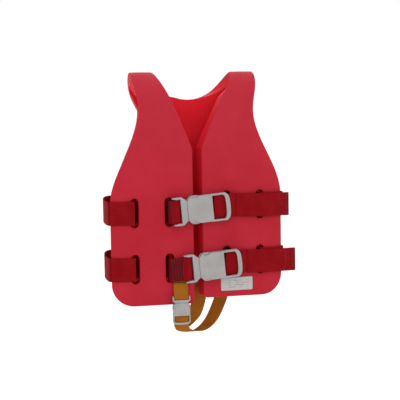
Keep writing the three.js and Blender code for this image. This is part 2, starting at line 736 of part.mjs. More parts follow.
add(group, 'back_panel', backPanel(), foamMaterial());
add(group, 'front_panel_right', frontPanel(-1), foamMaterial());
add(group, 'front_panel_left', frontPanel(1), foamMaterial());
add(group, 'label', label(), labelMaterial());

addBelt('upper', upperBeltZ, 0, upperMouthX, upperTailOverhang);
addBelt('lower', lowerBeltZ, lowerFasteningDrop, lowerMouthX, lowerTailOverhang);

add(group, 'crotch_hanger', crotchHanger(), crotchMaterial());
add(group, 'crotch_strap_front', crotchFront(), crotchMaterial());
add(group, 'crotch_strap_rear', crotchRear(), crotchMaterial());
add(group, 'crotch_tail', crotchTail(), crotchMaterial());
const crotch = addBuckle(group, 'crotch_buckle', crotchBuckle, ['left_arm', 'right_arm']);
crotch.position.set(crotchBuckleX, -faceY - crotchBuckleLift, crotchMouthZ);
crotch.rotation.y = Math.PI / 2;

export default group;
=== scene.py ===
"""A child's foam swim vest as it looks: foam body, woven belts, buckles, crotch strap, label.

Metres, +Z up, the front towards -Y; the wearer's right side is -X. Every piece is built
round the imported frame, with its place in its mesh.
"""

import json
import logging
import math
from dataclasses import dataclass, field
from enum import Enum

import bmesh
import bpy
import numpy as np
from mathutils import Matrix, Vector, noise
from mathutils.geometry import delaunay_2d_cdt


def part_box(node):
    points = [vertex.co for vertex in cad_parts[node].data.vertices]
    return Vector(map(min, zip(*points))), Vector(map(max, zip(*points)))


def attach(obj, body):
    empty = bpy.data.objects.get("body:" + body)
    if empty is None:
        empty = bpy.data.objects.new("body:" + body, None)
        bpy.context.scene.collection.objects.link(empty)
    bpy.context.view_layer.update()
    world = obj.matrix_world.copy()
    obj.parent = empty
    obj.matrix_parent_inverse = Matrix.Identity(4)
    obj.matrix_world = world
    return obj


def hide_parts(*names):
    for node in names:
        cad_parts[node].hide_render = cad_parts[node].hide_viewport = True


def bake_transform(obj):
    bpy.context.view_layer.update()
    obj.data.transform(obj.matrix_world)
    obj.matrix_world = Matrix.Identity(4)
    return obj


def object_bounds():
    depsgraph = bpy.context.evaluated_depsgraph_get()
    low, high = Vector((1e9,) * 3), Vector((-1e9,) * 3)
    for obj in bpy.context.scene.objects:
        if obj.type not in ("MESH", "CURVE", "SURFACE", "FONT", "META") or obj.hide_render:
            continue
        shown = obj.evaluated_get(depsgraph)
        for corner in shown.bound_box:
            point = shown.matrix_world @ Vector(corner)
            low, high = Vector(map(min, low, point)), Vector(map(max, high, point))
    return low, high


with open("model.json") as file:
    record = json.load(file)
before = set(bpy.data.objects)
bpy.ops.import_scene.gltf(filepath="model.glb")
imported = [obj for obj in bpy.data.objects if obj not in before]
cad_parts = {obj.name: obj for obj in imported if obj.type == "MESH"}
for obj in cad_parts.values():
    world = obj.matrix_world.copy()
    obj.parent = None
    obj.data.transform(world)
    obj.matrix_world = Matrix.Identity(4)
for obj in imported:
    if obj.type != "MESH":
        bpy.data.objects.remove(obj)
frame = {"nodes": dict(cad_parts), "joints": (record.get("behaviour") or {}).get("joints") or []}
CAD_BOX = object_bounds()

LOG = logging.getLogger("swim_vest")
UP = Vector((0.0, 0.0, 1.0))
SIDEWAYS = Vector((1.0, 0.0, 0.0))
CLEARANCE = 0.0003
STEEPEST = 0.95  # sine of the most that a front's side may curl
PART_STEP = 0.002  # between points of a part of a line
STRIP_END = 0.0002  # how far a strap's stretches reach past the foam's edge
GUIDE_LIFT = 0.0001  # stitches above the webbing they are sewn through
FOAM_LIFT = 0.0005  # webbing above the foam
SAME_SPOT = 1e-5  # points nearer than this are one point
ROW_RATIO = 0.87  # row height to step, in a grid of even triangles
QUARTER_ROUND = ((0.5, 0.134), (0.134, 0.5), (0.0, 1.0))  # inset and depth by radius


Colour = tuple[float, float, float, float]
Value = bpy.types.NodeSocket | Colour | float  # what a node's input takes


# ---------------------------------------------------------------- plan


def middle(node: str) -> Vector:
    """The middle of a CAD node's box."""
    low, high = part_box(node)
    return (low + high) / 2


@dataclass(frozen=True)
class VestPlan:
    """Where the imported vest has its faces, belts and buckles."""

    face: float  # centre plane to the foam's outer faces
    foam: float  # thickness of the foam
    chest_half: float  # centre to a front's side edge
    back_half: float  # centre to the back's side edge
    hem_z: float
    hang: float  # the left front hangs this much higher, the right front lower
    upper_z: float
    lower_z: float
    belt_width: float
    tilt: float  # of the closed buckles, left end up
    upper_mouth: float  # x where the plugs enter the sockets
    lower_mouth: float
    upper_fastening: float  # height of each fastening where it crosses the centre
    lower_fastening: float
    bend_start: float = 0.102  # the fronts are flat from the centre to here
    side_turn: float = math.radians(21)
    tail_tilt: float = math.radians(-1.2)  # of the free ends
    tail_drop: float = 0.0012  # how far they start below the wraps they continue
    inner_slot: float = 0.050
    outer_inset: float = 0.041

    @classmethod
    def read(cls) -> "VestPlan":
        """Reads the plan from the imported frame."""
        low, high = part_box("back_panel")
        belt_low, belt_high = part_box("upper_belt_back")
        slide = next(j for j in frame["joints"] if j["name"] == "upper_plug_slide")
        tilt = math.atan2(-slide["axis"][2], -slide["axis"][0])
        return cls(
            face=high.y,
            foam=high.z,
            chest_half=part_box("front_panel_left")[1].x,
            back_half=high.x,
            hem_z=low.z,
            hang=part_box("front_panel_left")[0].z - low.z,
            upper_z=middle("upper_belt_back").z,
            lower_z=middle("lower_belt_back").z,
            belt_width=belt_high.z - belt_low.z,
            tilt=tilt,
            upper_mouth=cls.mouth("upper", tilt)[0],
            lower_mouth=cls.mouth("lower", tilt)[0],
            upper_fastening=cls.mouth("upper", tilt)[1],
            lower_fastening=cls.mouth("lower", tilt)[1],
        )

    @staticmethod
    def mouth(belt: str, tilt: float) -> tuple[float, float]:
        """A socket's mouth, from its arms' hinges.

        Args:
            belt: "upper" or "lower".
            tilt: of the fastening.

        Returns:
            The distance along the tilted fastening to the mouth, and the height of the
            fastening where it crosses the centre.
        """
        names = (f"{belt}_top_arm_press", f"{belt}_bottom_arm_press")
        spots = [j["pos_m"] for j in frame["joints"] if j["name"] in names]
        along = sum(p[0] for p in spots) / 2 / math.cos(tilt)
        return along, sum(p[2] for p in spots) / 2 - along * math.sin(tilt)

    @property
    def fold(self) -> float:
        """Inside radius of the shoulder folds."""
        return self.face - self.foam

    @property
    def bend_radius(self) -> float:
        """Radius of the fronts' curled sides, on the outer face."""
        return (self.chest_half - self.bend_start) / math.sin(self.side_turn)

    @property
    def outer_slot(self) -> float:
        """Centre to the middle of the fronts' outer slots."""
        return self.chest_half - self.outer_inset

    @property
    def back_slot(self) -> float:
        """Centre to the middle of the back's outer slots."""
        return self.back_half - self.outer_inset

    def level(self, depth: float) -> float:
        """Height of a depth below the shoulders' top."""
        return self.foam - depth

    def belt_z(self, belt: str) -> float:
        """Height of a belt's middle at the back."""
        return self.upper_z if belt == "upper" else self.lower_z

    def on_front(self, side: int, x: float, lift: float, z: float) -> Vector:
        """A point at a height above a front's outer face, by the face's own plan.

        Args:
            side: -1 for the wearer's right, 1 for the left.
            x: distance from the centre, in the front view.
            lift: height above the face.
            z: height.

        Returns:
            The point.
        """
        radius = self.bend_radius
        turn = math.asin(min(max((x - self.bend_start) / radius, 0.0), STEEPEST))
        flat = min(x, self.bend_start)
        return Vector((
            side * (flat + (radius + lift) * math.sin(turn)),
            radius - self.face - (radius + lift) * math.cos(turn),
            z,
        ))


# ---------------------------------------------------------------- node tools


class NodeSheet:
    """A node tree with short ways to add and wire its nodes."""

    def __init__(self, tree: bpy.types.NodeTree) -> None:
        """Keeps the tree and empties it."""
        self.tree = tree
        tree.nodes.clear()

    def add(self, kind: str, wired: dict | None = None, **facts: str) -> bpy.types.Node:
        """Adds a node.

        Args:
            kind: the node's type name.
            wired: input name or number to a value or an output socket.
            **facts: the node's own properties.

        Returns:
            The node.
        """
        node = self.tree.nodes.new(kind)
        for name, value in facts.items():
            setattr(node, name, value)
        for key, value in (wired or {}).items():
            socket = node.inputs[key]
            if isinstance(value, bpy.types.NodeSocket):
                self.tree.links.new(value, socket)
            else:
                socket.default_value = value
        return node

    def math(self, operation: str, *values: Value) -> bpy.types.NodeSocket:
        """A Math node's result on numbers or sockets."""
        return self.add("ShaderNodeMath", dict(enumerate(values)), operation=operation).outputs[0]

    def times(self, first: Value, second: Value) -> bpy.types.NodeSocket:
        """The product of two numbers or sockets."""
        return self.math("MULTIPLY", first, second)

    def place(self) -> bpy.types.NodeSocket:
        """The place on the piece, in metres."""
        return self.add("ShaderNodeTexCoord").outputs["Object"]

    def attribute(self, name: str) -> bpy.types.NodeSocket:
        """A number that the piece's mesh carries under a name."""
        return self.add("ShaderNodeAttribute", attribute_name=name).outputs["Fac"]

    def map_halves(self) -> tuple[bpy.types.NodeSocket, bpy.types.NodeSocket]:
        """Across and along the piece's own map."""
        spot = self.add("ShaderNodeUVMap", uv_map="weave").outputs[0]
        return tuple(self.add("ShaderNodeSeparateXYZ", {0: spot}).outputs[:2])

    def bands(self, place: Value, scale: float, distortion: float,
              direction: str) -> bpy.types.NodeSocket:
        """Soft bands from 0 to 1 across a direction."""
        return self.add(
            "ShaderNodeTexWave", {"Vector": place, "Scale": scale, "Distortion": distortion},
            bands_direction=direction,
        ).outputs["Fac"]

    def blend(self, share: Value, low: Value, high: Value) -> bpy.types.NodeSocket:
        """A colour between two colours or sockets."""
        node = self.add("ShaderNodeMix", data_type="RGBA")
        for place, value in ((0, share), (6, low), (7, high)):
            if isinstance(value, bpy.types.NodeSocket):
                self.tree.links.new(value, node.inputs[place])
            else:
                node.inputs[place].default_value = value
        return node.outputs[2]

    def span(self, value: Value, low: float, high: float, to_low: float, to_high: float,
             smooth: bool = False) -> bpy.types.NodeSocket:
        """A value carried from one range to another."""
        node = self.add("ShaderNodeMapRange", {0: value, 1: low, 2: high, 3: to_low, 4: to_high})
        node.interpolation_type = "SMOOTHSTEP" if smooth else "LINEAR"
        return node.outputs[0]

    def noise(self, place: Value, scale: float, detail: float = 2.0,
              rough: float = 0.5) -> bpy.types.NodeSocket:
        """Noise from 0 to 1 at a scale in features a metre."""
        return self.add(
            "ShaderNodeTexNoise",
            {"Vector": place, "Scale": scale, "Detail": detail, "Roughness": rough},
        ).outputs[0]


def srgb(red: int, green: int, blue: int) -> tuple[float, float, float, float]:
    """A screen colour as linear light."""
    def linear(value: int) -> float:
        """One channel as linear light."""
        share = value / 255
        return share / 12.92 if share < 0.04 else ((share + 0.055) / 1.055) ** 2.4
    return (linear(red), linear(green), linear(blue), 1.0)


@dataclass(frozen=True)
class Finish:
    """A material with a name; each kind dresses its shader in its own way."""

    name: str

    def material(self) -> bpy.types.Material:
        """Builds the material."""
        material = bpy.data.materials.new(self.name)
        material.use_nodes = True
        sheet = NodeSheet(material.node_tree)
        shader = sheet.add("ShaderNodeBsdfPrincipled")
        self.dress(sheet, shader)
        out = sheet.add("ShaderNodeOutputMaterial")
        material.node_tree.links.new(shader.outputs[0], out.inputs[0])
        return material

    def dress(self, sheet: NodeSheet, shader: bpy.types.Node) -> None:
        """Wires the shader's inputs; the kinds of finish fill this in."""
        raise NotImplementedError

    @staticmethod
    def wire(sheet: NodeSheet, shader: bpy.types.Node, colour: Value, rough: Value,
             height: Value, depth: float) -> None:
        """Wires colour, roughness and a bump of a given depth in metres into a shader."""
        links = sheet.tree.links
        links.new(colour, shader.inputs["Base Color"])
        if isinstance(rough, bpy.types.NodeSocket):
            links.new(rough, shader.inputs["Roughness"])
        else:
            shader.inputs["Roughness"].default_value = rough
        bump = sheet.add("ShaderNodeBump", {"Height": height, "Distance": depth})
        links.new(bump.outputs[0], shader.inputs["Normal"])


@dataclass(frozen=True)
class FoamFinish(Finish):
    """Closed-cell foam with a fine skin, open cells on its cut edges and handling marks, painted
    light paling it towards the shoulders and painted bounce light on its inner skin.
    """

    skin: Colour = srgb(176, 29, 47)
    # pale is painted light: the greyer tone the foam takes towards the shoulders' top
    pale: Colour = srgb(177, 40, 56)
    deep: Colour = srgb(167, 22, 37)
    cut: Colour = srgb(186, 26, 40)
    # painted bounce light: the bright saturated red that light reflected inside the vest gives
    # its inner skin
    painted_bounce_light: Colour = srgb(218, 14, 33)

    def dress(self, sheet: NodeSheet, shader: bpy.types.Node) -> None:
        """Wires the foam's colour drift, pores and cut cells, the painted light towards the
        shoulders and the painted bounce light on the inner skin.
        """
        place = sheet.place()
        edge = sheet.attribute("cut_edge")
        painted_bounce_light = sheet.attribute("painted_bounce_light")
        drift = sheet.span(sheet.noise(place, 14, 3), 0.35, 0.65, 0, 1, True)
        colour = sheet.blend(drift, self.skin, self.deep)
        colour = sheet.blend(sheet.times(drift, 0.3), colour, self.skin)
        high = sheet.add("ShaderNodeSeparateXYZ", {0: place}).outputs["Z"]
        # painted light: the foam turns paler towards the shoulders' top
        painted_top_light = sheet.span(high, -0.20, 0.0, 0, 0.55, True)
        colour = sheet.blend(painted_top_light, colour, self.pale)
        cells = sheet.add(
            "ShaderNodeTexVoronoi", {"Vector": place, "Scale": 900}, feature="F1"
        ).outputs["Distance"]
        pores = sheet.noise(place, 1500, 2, 0.6)
        speck = sheet.span(sheet.noise(place, 900, 1), 0.55, 0.75, 0, 0.35)
        colour = sheet.blend(speck, colour, self.deep)
        rim = sheet.blend(sheet.times(cells, 0.4), self.cut, self.deep)
        colour = sheet.blend(sheet.times(edge, 0.8), colour, rim)
        # painted bounce light on the inner skin, fading up the cut edges
        colour = sheet.blend(sheet.times(painted_bounce_light, 0.8), colour, self.painted_bounce_light)
        grain = sheet.noise(place, 260, 3, 0.6)
        skin_height = sheet.math("ADD", sheet.times(pores, 0.35), grain)
        height = sheet.add(
            "ShaderNodeMix", {0: edge, 2: skin_height, 3: cells}, data_type="FLOAT"
        ).outputs[0]
        rough = sheet.span(sheet.noise(place, 40, 2), 0.3, 0.7, 0.58, 0.74)
        self.wire(sheet, shader, colour, rough, height, 0.00035)
        shader.inputs["Specular IOR Level"].default_value = 0.16


@dataclass(frozen=True)
class WebbingFinish(Finish):
    """Woven tape: ribs along it, picks across them, with painted light on the weave's crowns and
    painted shade in its grooves.
    """

    # crown is the weave's painted lit tone, groove its painted shaded tone
    crown: Colour = srgb(148, 5, 16)
    groove: Colour = srgb(104, 1, 8)
    # sewn: darker maroon on the loop's doubled stretch beside the slot; on the upper belt this is
    # painted shade from the slot
    sewn: Colour = srgb(84, 4, 17)
    rib: float = 0.0021  # across the tape
    pick: float = 0.0016  # along it

    def dress(self, sheet: NodeSheet, shader: bpy.types.Node) -> None:
        """Wires the weave from the tape's own map, which is in metres."""
        across, along = sheet.map_halves()
        across = sheet.math("DIVIDE", across, self.rib)
        along = sheet.math("DIVIDE", along, self.pick)
        row = sheet.math("MODULO", sheet.math("FLOOR", across), 2)
        along = sheet.math("ADD", along, sheet.times(row, 0.5))
        waves = [
            sheet.math("POWER", sheet.math("ABSOLUTE", sheet.math(
                "SINE", sheet.times(value, math.pi))), 0.6)
            for value in (across, along)
        ]
        weave = sheet.times(*waves)
        place = sheet.place()
        drift = sheet.noise(place, 55, 3)
        tone = sheet.attribute("sewn")
        # painted light and shade: crowns of the weave lighter, grooves darker
        lit = sheet.span(weave, 0.05, 0.8, 0, 1)
        colour = sheet.blend(lit, self.groove, self.crown)
        colour = sheet.blend(sheet.span(drift, 0.4, 0.7, 0, 0.3), colour, self.groove)
        # darker on the loop's doubled stretch beside the slot, partly painted shade from the slot
        colour = sheet.blend(sheet.times(tone, 0.85), colour, self.sewn)
        fuzz = sheet.noise(place, 2600, 2, 0.7)
        height = sheet.math("ADD", weave, sheet.times(fuzz, 0.25))
        rough = sheet.span(drift, 0.3, 0.7, 0.62, 0.8)
        self.wire(sheet, shader, colour, rough, height, 0.00030)
        shader.inputs["Specular IOR Level"].default_value = 0.08


@dataclass(frozen=True)
class PlasticFinish(Finish):
    """Moulded off-white acetal, spark-eroded texture, rubbed smoother in patches."""

    body: Colour = srgb(154, 151, 150)
    shade: Colour = srgb(143, 139, 137)

    def dress(self, sheet: NodeSheet, shader: bpy.types.Node) -> None:
        """Wires the mould's fine grain, flow marks and scuffs."""
        place = sheet.place()
        flow = sheet.noise(place, 60, 3)
        grime = sheet.span(sheet.noise(place, 240, 4, 0.7), 0.52, 0.72, 0, 0.6)
        colour = sheet.blend(sheet.span(flow, 0.35, 0.7, 0, 0.7), self.body, self.shade)
        colour = sheet.blend(grime, colour, self.shade)
        grain = sheet.noise(place, 3200, 1)
        scuff = sheet.noise(place, 500, 3, 0.7)
        height = sheet.math("ADD", grain, sheet.times(scuff, 0.5))
        rough = sheet.span(scuff, 0.35, 0.7, 0.36, 0.52)
        self.wire(sheet, shader, colour, rough, height, 0.00006)
        shader.inputs["Specular IOR Level"].default_value = 0.5


@dataclass(frozen=True)
class ThreadFinish(Finish):
    """Twisted sewing thread."""

    # dark and light: the painted shaded and lit tones of the twist
    dark: Colour = srgb(78, 4, 14)
    light: Colour = srgb(108, 8, 20)

    def dress(self, sheet: NodeSheet, shader: bpy.types.Node) -> None:
        """Wires the twist as fine bands: painted light on the twist's ridges and painted shade
        between them.
        """
        place = sheet.place()
        twist = sheet.bands(place, 900, 2.0, "DIAGONAL")
        colour = sheet.blend(twist, self.dark, self.light)
        self.wire(sheet, shader, colour, 0.6, twist, 0.0001)
        shader.inputs["Sheen Weight"].default_value = 0.15


@dataclass(frozen=True)
class LabelFinish(Finish):
    """Satin label tape with a few faint printed bars that spell nothing."""

    tape: Colour = srgb(178, 174, 173)
    faded: Colour = srgb(160, 155, 154)
    ink: Colour = srgb(64, 60, 62)
    print_across: tuple[float, float] = (0.12, 0.90)  # the printed part, as shares
    print_up: tuple[float, float] = (0.17, 0.83)

    def dress(self, sheet: NodeSheet, shader: bpy.types.Node) -> None:
        """Wires the tape's weave and the bars from the label's own map, 0 to 1."""
        across, up = sheet.map_halves()
        rows = sheet.times(up, 6.0)
        band = sheet.math("ABSOLUTE", sheet.math("SUBTRACT", sheet.math("FRACT", rows), 0.5))
        in_row = sheet.math("LESS_THAN", band, 0.14)
        stretched = sheet.add("ShaderNodeCombineXYZ", {
            0: sheet.times(across, 9.0), 1: sheet.times(sheet.math("FLOOR", rows), 7.3),
        }).outputs[0]
        dash = sheet.math("GREATER_THAN", sheet.noise(stretched, 1.0, 1), 0.5)
        printed = sheet.times(in_row, dash)
        for value, low, high in ((across, *self.print_across), (up, *self.print_up)):
            printed = sheet.times(printed, sheet.math("GREATER_THAN", value, low))
            printed = sheet.times(printed, sheet.math("LESS_THAN", value, high))
        place = sheet.place()
        satin = sheet.bands(place, 420, 0.6, "Z")
        drift = sheet.noise(place, 120, 3)
        colour = sheet.blend(sheet.times(drift, 0.3), self.tape, self.faded)
        colour = sheet.blend(sheet.times(printed, 0.55), colour, self.ink)
        self.wire(sheet, shader, colour, 0.55, satin, 0.00006)


@dataclass(frozen=True)
class FloorFinish(Finish):
    """Plain pale floor paint with the faintest mottle."""

    tone: Colour = (0.9, 0.9, 0.9, 1.0)
    mottled: Colour = (0.87, 0.87, 0.87, 1.0)

    def dress(self, sheet: NodeSheet, shader: bpy.types.Node) -> None:
        """Wires the pale mottle."""
        place = sheet.place()
        mottle = sheet.noise(place, 3, 2)
        colour = sheet.blend(sheet.times(mottle, 0.04), self.tone, self.mottled)
        self.wire(sheet, shader, colour, 0.9, mottle, 0.0001)


class Slot(Enum):
    """The record's material slots."""

    FOAM = "foam"
    BELT = "belt_webbing"
    CROTCH = "crotch_webbing"
    PLASTIC = "buckle_plastic"
    LABEL = "label"


class Palette:
    """The vest's materials, each made once."""

    def __init__(self) -> None:
        """Builds every finish."""
        self.foam = FoamFinish("foam_skin").material()
        self.belt = WebbingFinish("belt_webbing").material()
        self.crotch = WebbingFinish(
            "crotch_webbing", crown=srgb(168, 106, 26), groove=srgb(126, 66, 10),
            sewn=srgb(178, 84, 24), rib=0.0018, pick=0.0014,
        ).material()
        self.plastic = PlasticFinish("buckle_plastic").material()
        self.thread = ThreadFinish("belt_thread").material()
        self.crotch_thread = ThreadFinish(
            "crotch_thread", dark=srgb(140, 84, 20), light=srgb(196, 140, 50)
        ).material()
        self.label = LabelFinish("label_tape").material()
        self.label_thread = ThreadFinish(
            "label_thread", dark=srgb(150, 146, 142), light=srgb(210, 206, 200)
        ).material()
        self.floor = FloorFinish("floor_paint").material()


# ---------------------------------------------------------------- mesh tools


def linked(name: str, data: bpy.types.ID, *materials: bpy.types.Material) -> bpy.types.Object:
    """An object at the origin for a mesh, camera or lamp, with its materials."""
    piece = bpy.data.objects.new(name, data)
    bpy.context.scene.collection.objects.link(piece)
    for material in materials:
        data.materials.append(material)
    return piece


def written(work: bmesh.types.BMesh, mesh: bpy.types.Mesh) -> bpy.types.Mesh:
    """Writes worked faces into a mesh and frees them."""
    work.to_mesh(mesh)
    work.free()
    return mesh


def declared(slot: Slot, nodes: tuple[str, ...]) -> None:
    """Hides the nodes that a piece stands for."""
    if nodes:
        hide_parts(*nodes)


def rides(piece: bpy.types.Object, body: str, slot: Slot, *nodes: str) -> None:
    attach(piece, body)
    declared(slot, nodes)
    LOG.info("%s rides on %s", piece.name, body)


def bends(piece: bpy.types.Object, bodies: tuple[str, str], ends: tuple[Vector, Vector],
          slot: Slot, *nodes: str) -> None:
    tuple(ends[0])
    tuple(ends[1])
    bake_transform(piece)
    declared(slot, nodes)
    LOG.info("%s bends between %s and %s", piece.name, *bodies)


def bezier(corners: list[tuple[float, ...]], count: int) -> np.ndarray:
    """Points along a cubic curve through four control points."""
    p = [np.array(c, float) for c in corners]
    t = np.linspace(0, 1, count + 1)[:, None]
    return ((1 - t) ** 3 * p[0] + 3 * (1 - t) ** 2 * t * p[1]
            + 3 * (1 - t) * t ** 2 * p[2] + t ** 3 * p[3])


def arc(x: float, z: float, radius: float, start: float, end: float,
        count: int = 24) -> np.ndarray:
    """Points along an arc, by angles in radians."""
    angle = np.linspace(start, end, count + 1)
    return np.stack([x + radius * np.cos(angle), z + radius * np.sin(angle)], 1)


def distances(points: np.ndarray) -> np.ndarray:
    """Distance of each point along its line."""
    return np.concatenate([[0], np.cumsum(np.linalg.norm(np.diff(points, axis=0), axis=1))])


def at_distances(points: np.ndarray, length: np.ndarray, at: np.ndarray) -> np.ndarray:
    """Points of a line at given distances along it."""
    return np.stack([np.interp(at, length, column) for column in points.T], 1)


def evenly(points: np.ndarray, step: float) -> np.ndarray:
    """The same line with its points evenly spaced, at most `step` apart."""
    length = distances(points)
    count = max(int(math.ceil(length[-1] / step)), 1)
    return at_distances(points, length, np.linspace(0, length[-1], count + 1))


def between(start: tuple[float, float] | np.ndarray, end: tuple[float, float] | np.ndarray,
            step: float) -> np.ndarray:
    """Even points between two points, without the two."""
    return evenly(np.array([start, end], float), step)[1:-1]


def smoothstep(value: np.ndarray, low: float, high: float) -> np.ndarray:
    """0 below low, 1 above high and smooth between them."""
    t = np.clip((value - low) / (high - low), 0, 1)
    return t * t * (3 - 2 * t)


def inside(points: np.ndarray, ring: np.ndarray) -> np.ndarray:
    """Which points lie inside a closed ring."""
    x, y = points[:, 0][:, None], points[:, 1][:, None]
    x0, y0 = ring[:, 0], ring[:, 1]
    x1, y1 = np.roll(x0, -1), np.roll(y0, -1)
    crosses = (y0 > y) != (y1 > y)
    rise = np.where(y1 == y0, 1e-12, y1 - y0)
    at = x0 + (y - y0) * (x1 - x0) / rise
    return (np.sum(crosses & (x < at), 1) % 2) == 1


def inside_foam(points: np.ndarray, rings: list[np.ndarray]) -> np.ndarray:
    """Which points lie inside the first ring and outside the others."""
    keep = inside(points, rings[0])
    for ring in rings[1:]:
        keep &= ~inside(points, ring)
    return keep


def plain_from_tree(name: str, guide: bpy.types.Mesh, tree: bpy.types.NodeTree,
                    sizes: dict) -> bpy.types.Object:
    """Runs a geometry tree on a guide mesh and keeps its result as a plain mesh.

    Args:
        name: the new piece's name.
        guide: the mesh that the tree works from.
        tree: the geometry tree.
        sizes: the tree's named inputs.

    Returns:
        The piece, with no modifier left on it.
    """
    piece = linked(name, guide)
    modifier = piece.modifiers.new("made", "NODES")
    modifier.node_group = tree
    named = {i.name: i.identifier for i in tree.interface.items_tree
             if i.item_type == "SOCKET" and i.in_out == "INPUT"}
    for key, value in sizes.items():
        modifier[named[key]] = value
    graph = bpy.context.evaluated_depsgraph_get()
    made = bpy.data.meshes.new_from_object(piece.evaluated_get(graph))
    piece.modifiers.clear()
    piece.data = made
    made.name = name
    return piece


def guide_mesh(name: str, lines: list[list[Vector]]) -> bpy.types.Mesh:
    """A mesh of bare edges along lines of points, or of bare points."""
    points: list[Vector] = []
    edges: list[tuple[int, int]] = []
    for line in lines:
        edges += [(len(points) + i, len(points) + i + 1) for i in range(len(line) - 1)]
        points += line
    mesh = bpy.data.meshes.new(name + "_guide")
    mesh.from_pydata(points, edges, [])
    return mesh


class PatternTree:
    """A geometry tree that sets small shapes along a guide mesh."""

    tree: bpy.types.NodeTree

    def opened(self, name: str, guide: str,
               sizes: tuple[str, ...]) -> tuple[NodeSheet, bpy.types.Node]:
        """Makes the tree and its named inputs.

        Args:
            name: the tree's name.
            guide: the name of the guide input.
            sizes: the names of the size inputs.

        Returns:
            The sheet to build on and the input node.
        """
        self.tree = bpy.data.node_groups.new(name, "GeometryNodeTree")
        face = self.tree.interface
        face.new_socket(guide, in_out="INPUT", socket_type="NodeSocketGeometry")
        for key in sizes:
            face.new_socket(key, in_out="INPUT", socket_type="NodeSocketFloat")
        face.new_socket("Material", in_out="INPUT", socket_type="NodeSocketMaterial")
        face.new_socket("Shapes", in_out="OUTPUT", socket_type="NodeSocketGeometry")
        sheet = NodeSheet(self.tree)
        return sheet, sheet.add("NodeGroupInput")

    @staticmethod
    def closed(sheet: NodeSheet, given: bpy.types.Node, last: bpy.types.Node) -> None:
        """Gives the shapes their material and ends the tree."""
        dressed = sheet.add("GeometryNodeSetMaterial", {
            0: last.outputs[0], "Material": given.outputs["Material"]})
        sheet.add("NodeGroupOutput", {0: dressed.outputs[0]})


class StitchTree(PatternTree):
    """Geometry nodes that sew a row of thread stitches along guide lines."""

    def __init__(self) -> None:
        """Builds the tree once."""
        sheet, given = self.opened("stitch_rows", "Lines", ("Pitch", "Thread"))
        curve = sheet.add("GeometryNodeMeshToCurve", {0: given.outputs["Lines"]})
        even = sheet.add("GeometryNodeResampleCurve", {"Curve": curve.outputs[0]}, mode="LENGTH")
        self.tree.links.new(given.outputs["Pitch"], even.inputs["Length"])
        points = sheet.add("GeometryNodeCurveToPoints", {0: even.outputs[0]}, mode="EVALUATED")
        turn = sheet.add("FunctionNodeAlignRotationToVector",
                         {"Vector": points.outputs["Tangent"]}, axis="X")
        bead = sheet.add("GeometryNodeMeshUVSphere",
                         {"Segments": 6, "Rings": 5, "Radius": 1.0})
        length = sheet.times(given.outputs["Pitch"], 0.41)
        thick = sheet.times(given.outputs["Thread"], 0.5)
        size = sheet.add("ShaderNodeCombineXYZ", {0: length, 1: thick, 2: thick})
        placed = sheet.add("GeometryNodeInstanceOnPoints", {
            "Points": points.outputs["Points"], "Instance": bead.outputs[0],
            "Rotation": turn.outputs[0], "Scale": size.outputs[0]})
        real = sheet.add("GeometryNodeRealizeInstances", {0: placed.outputs[0]})
        smooth = sheet.add("GeometryNodeSetShadeSmooth", {0: real.outputs[0]})
        self.closed(sheet, given, smooth)

    def sew(self, name: str, lines: list[list[Vector]], material: bpy.types.Material,
            pitch: float = 0.003, thread: float = 0.0008) -> bpy.types.Object:
        """A piece of stitches along lines.

        Args:
            name: the piece's name.
            lines: the rows, as points.
            material: the thread.
            pitch: length of a stitch.
            thread: thickness of the thread.

        Returns:
            The stitches as one plain mesh.
        """
        return plain_from_tree(name, guide_mesh(name, lines), self.tree,
                               {"Pitch": pitch, "Thread": thread, "Material": material})


class RibTree(PatternTree):
    """Geometry nodes that set small round ribs, which run along Y, on guide points."""

    def __init__(self) -> None:
        """Builds the tree once."""
        sheet, given = self.opened("grip_ribs", "Points", ("Radius", "Length"))
        rod = sheet.add("GeometryNodeMeshCylinder", {
            "Vertices": 10, "Radius": given.outputs["Radius"],
            "Depth": given.outputs["Length"]})
        laid = sheet.add("GeometryNodeTransform", {
            "Geometry": rod.outputs["Mesh"], "Rotation": (math.pi / 2, 0, 0)})
        placed = sheet.add("GeometryNodeInstanceOnPoints", {
            "Points": given.outputs["Points"], "Instance": laid.outputs[0]})
        real = sheet.add("GeometryNodeRealizeInstances", {0: placed.outputs[0]})
        self.closed(sheet, given, real)

    def ribs(self, name: str, points: list[Vector], radius: float, length: float,
             material: bpy.types.Material) -> bpy.types.Object:
        """Ribs on points, as one plain mesh."""
        return plain_from_tree(name, guide_mesh(name, [[p] for p in points]), self.tree,
                               {"Radius": radius, "Length": length, "Material": material})


# ---------------------------------------------------------------- foam


class Part(Enum):
    """The three pieces of the folded foam body."""

    BACK = "back"
    RIGHT = "front_right"
    LEFT = "front_left"


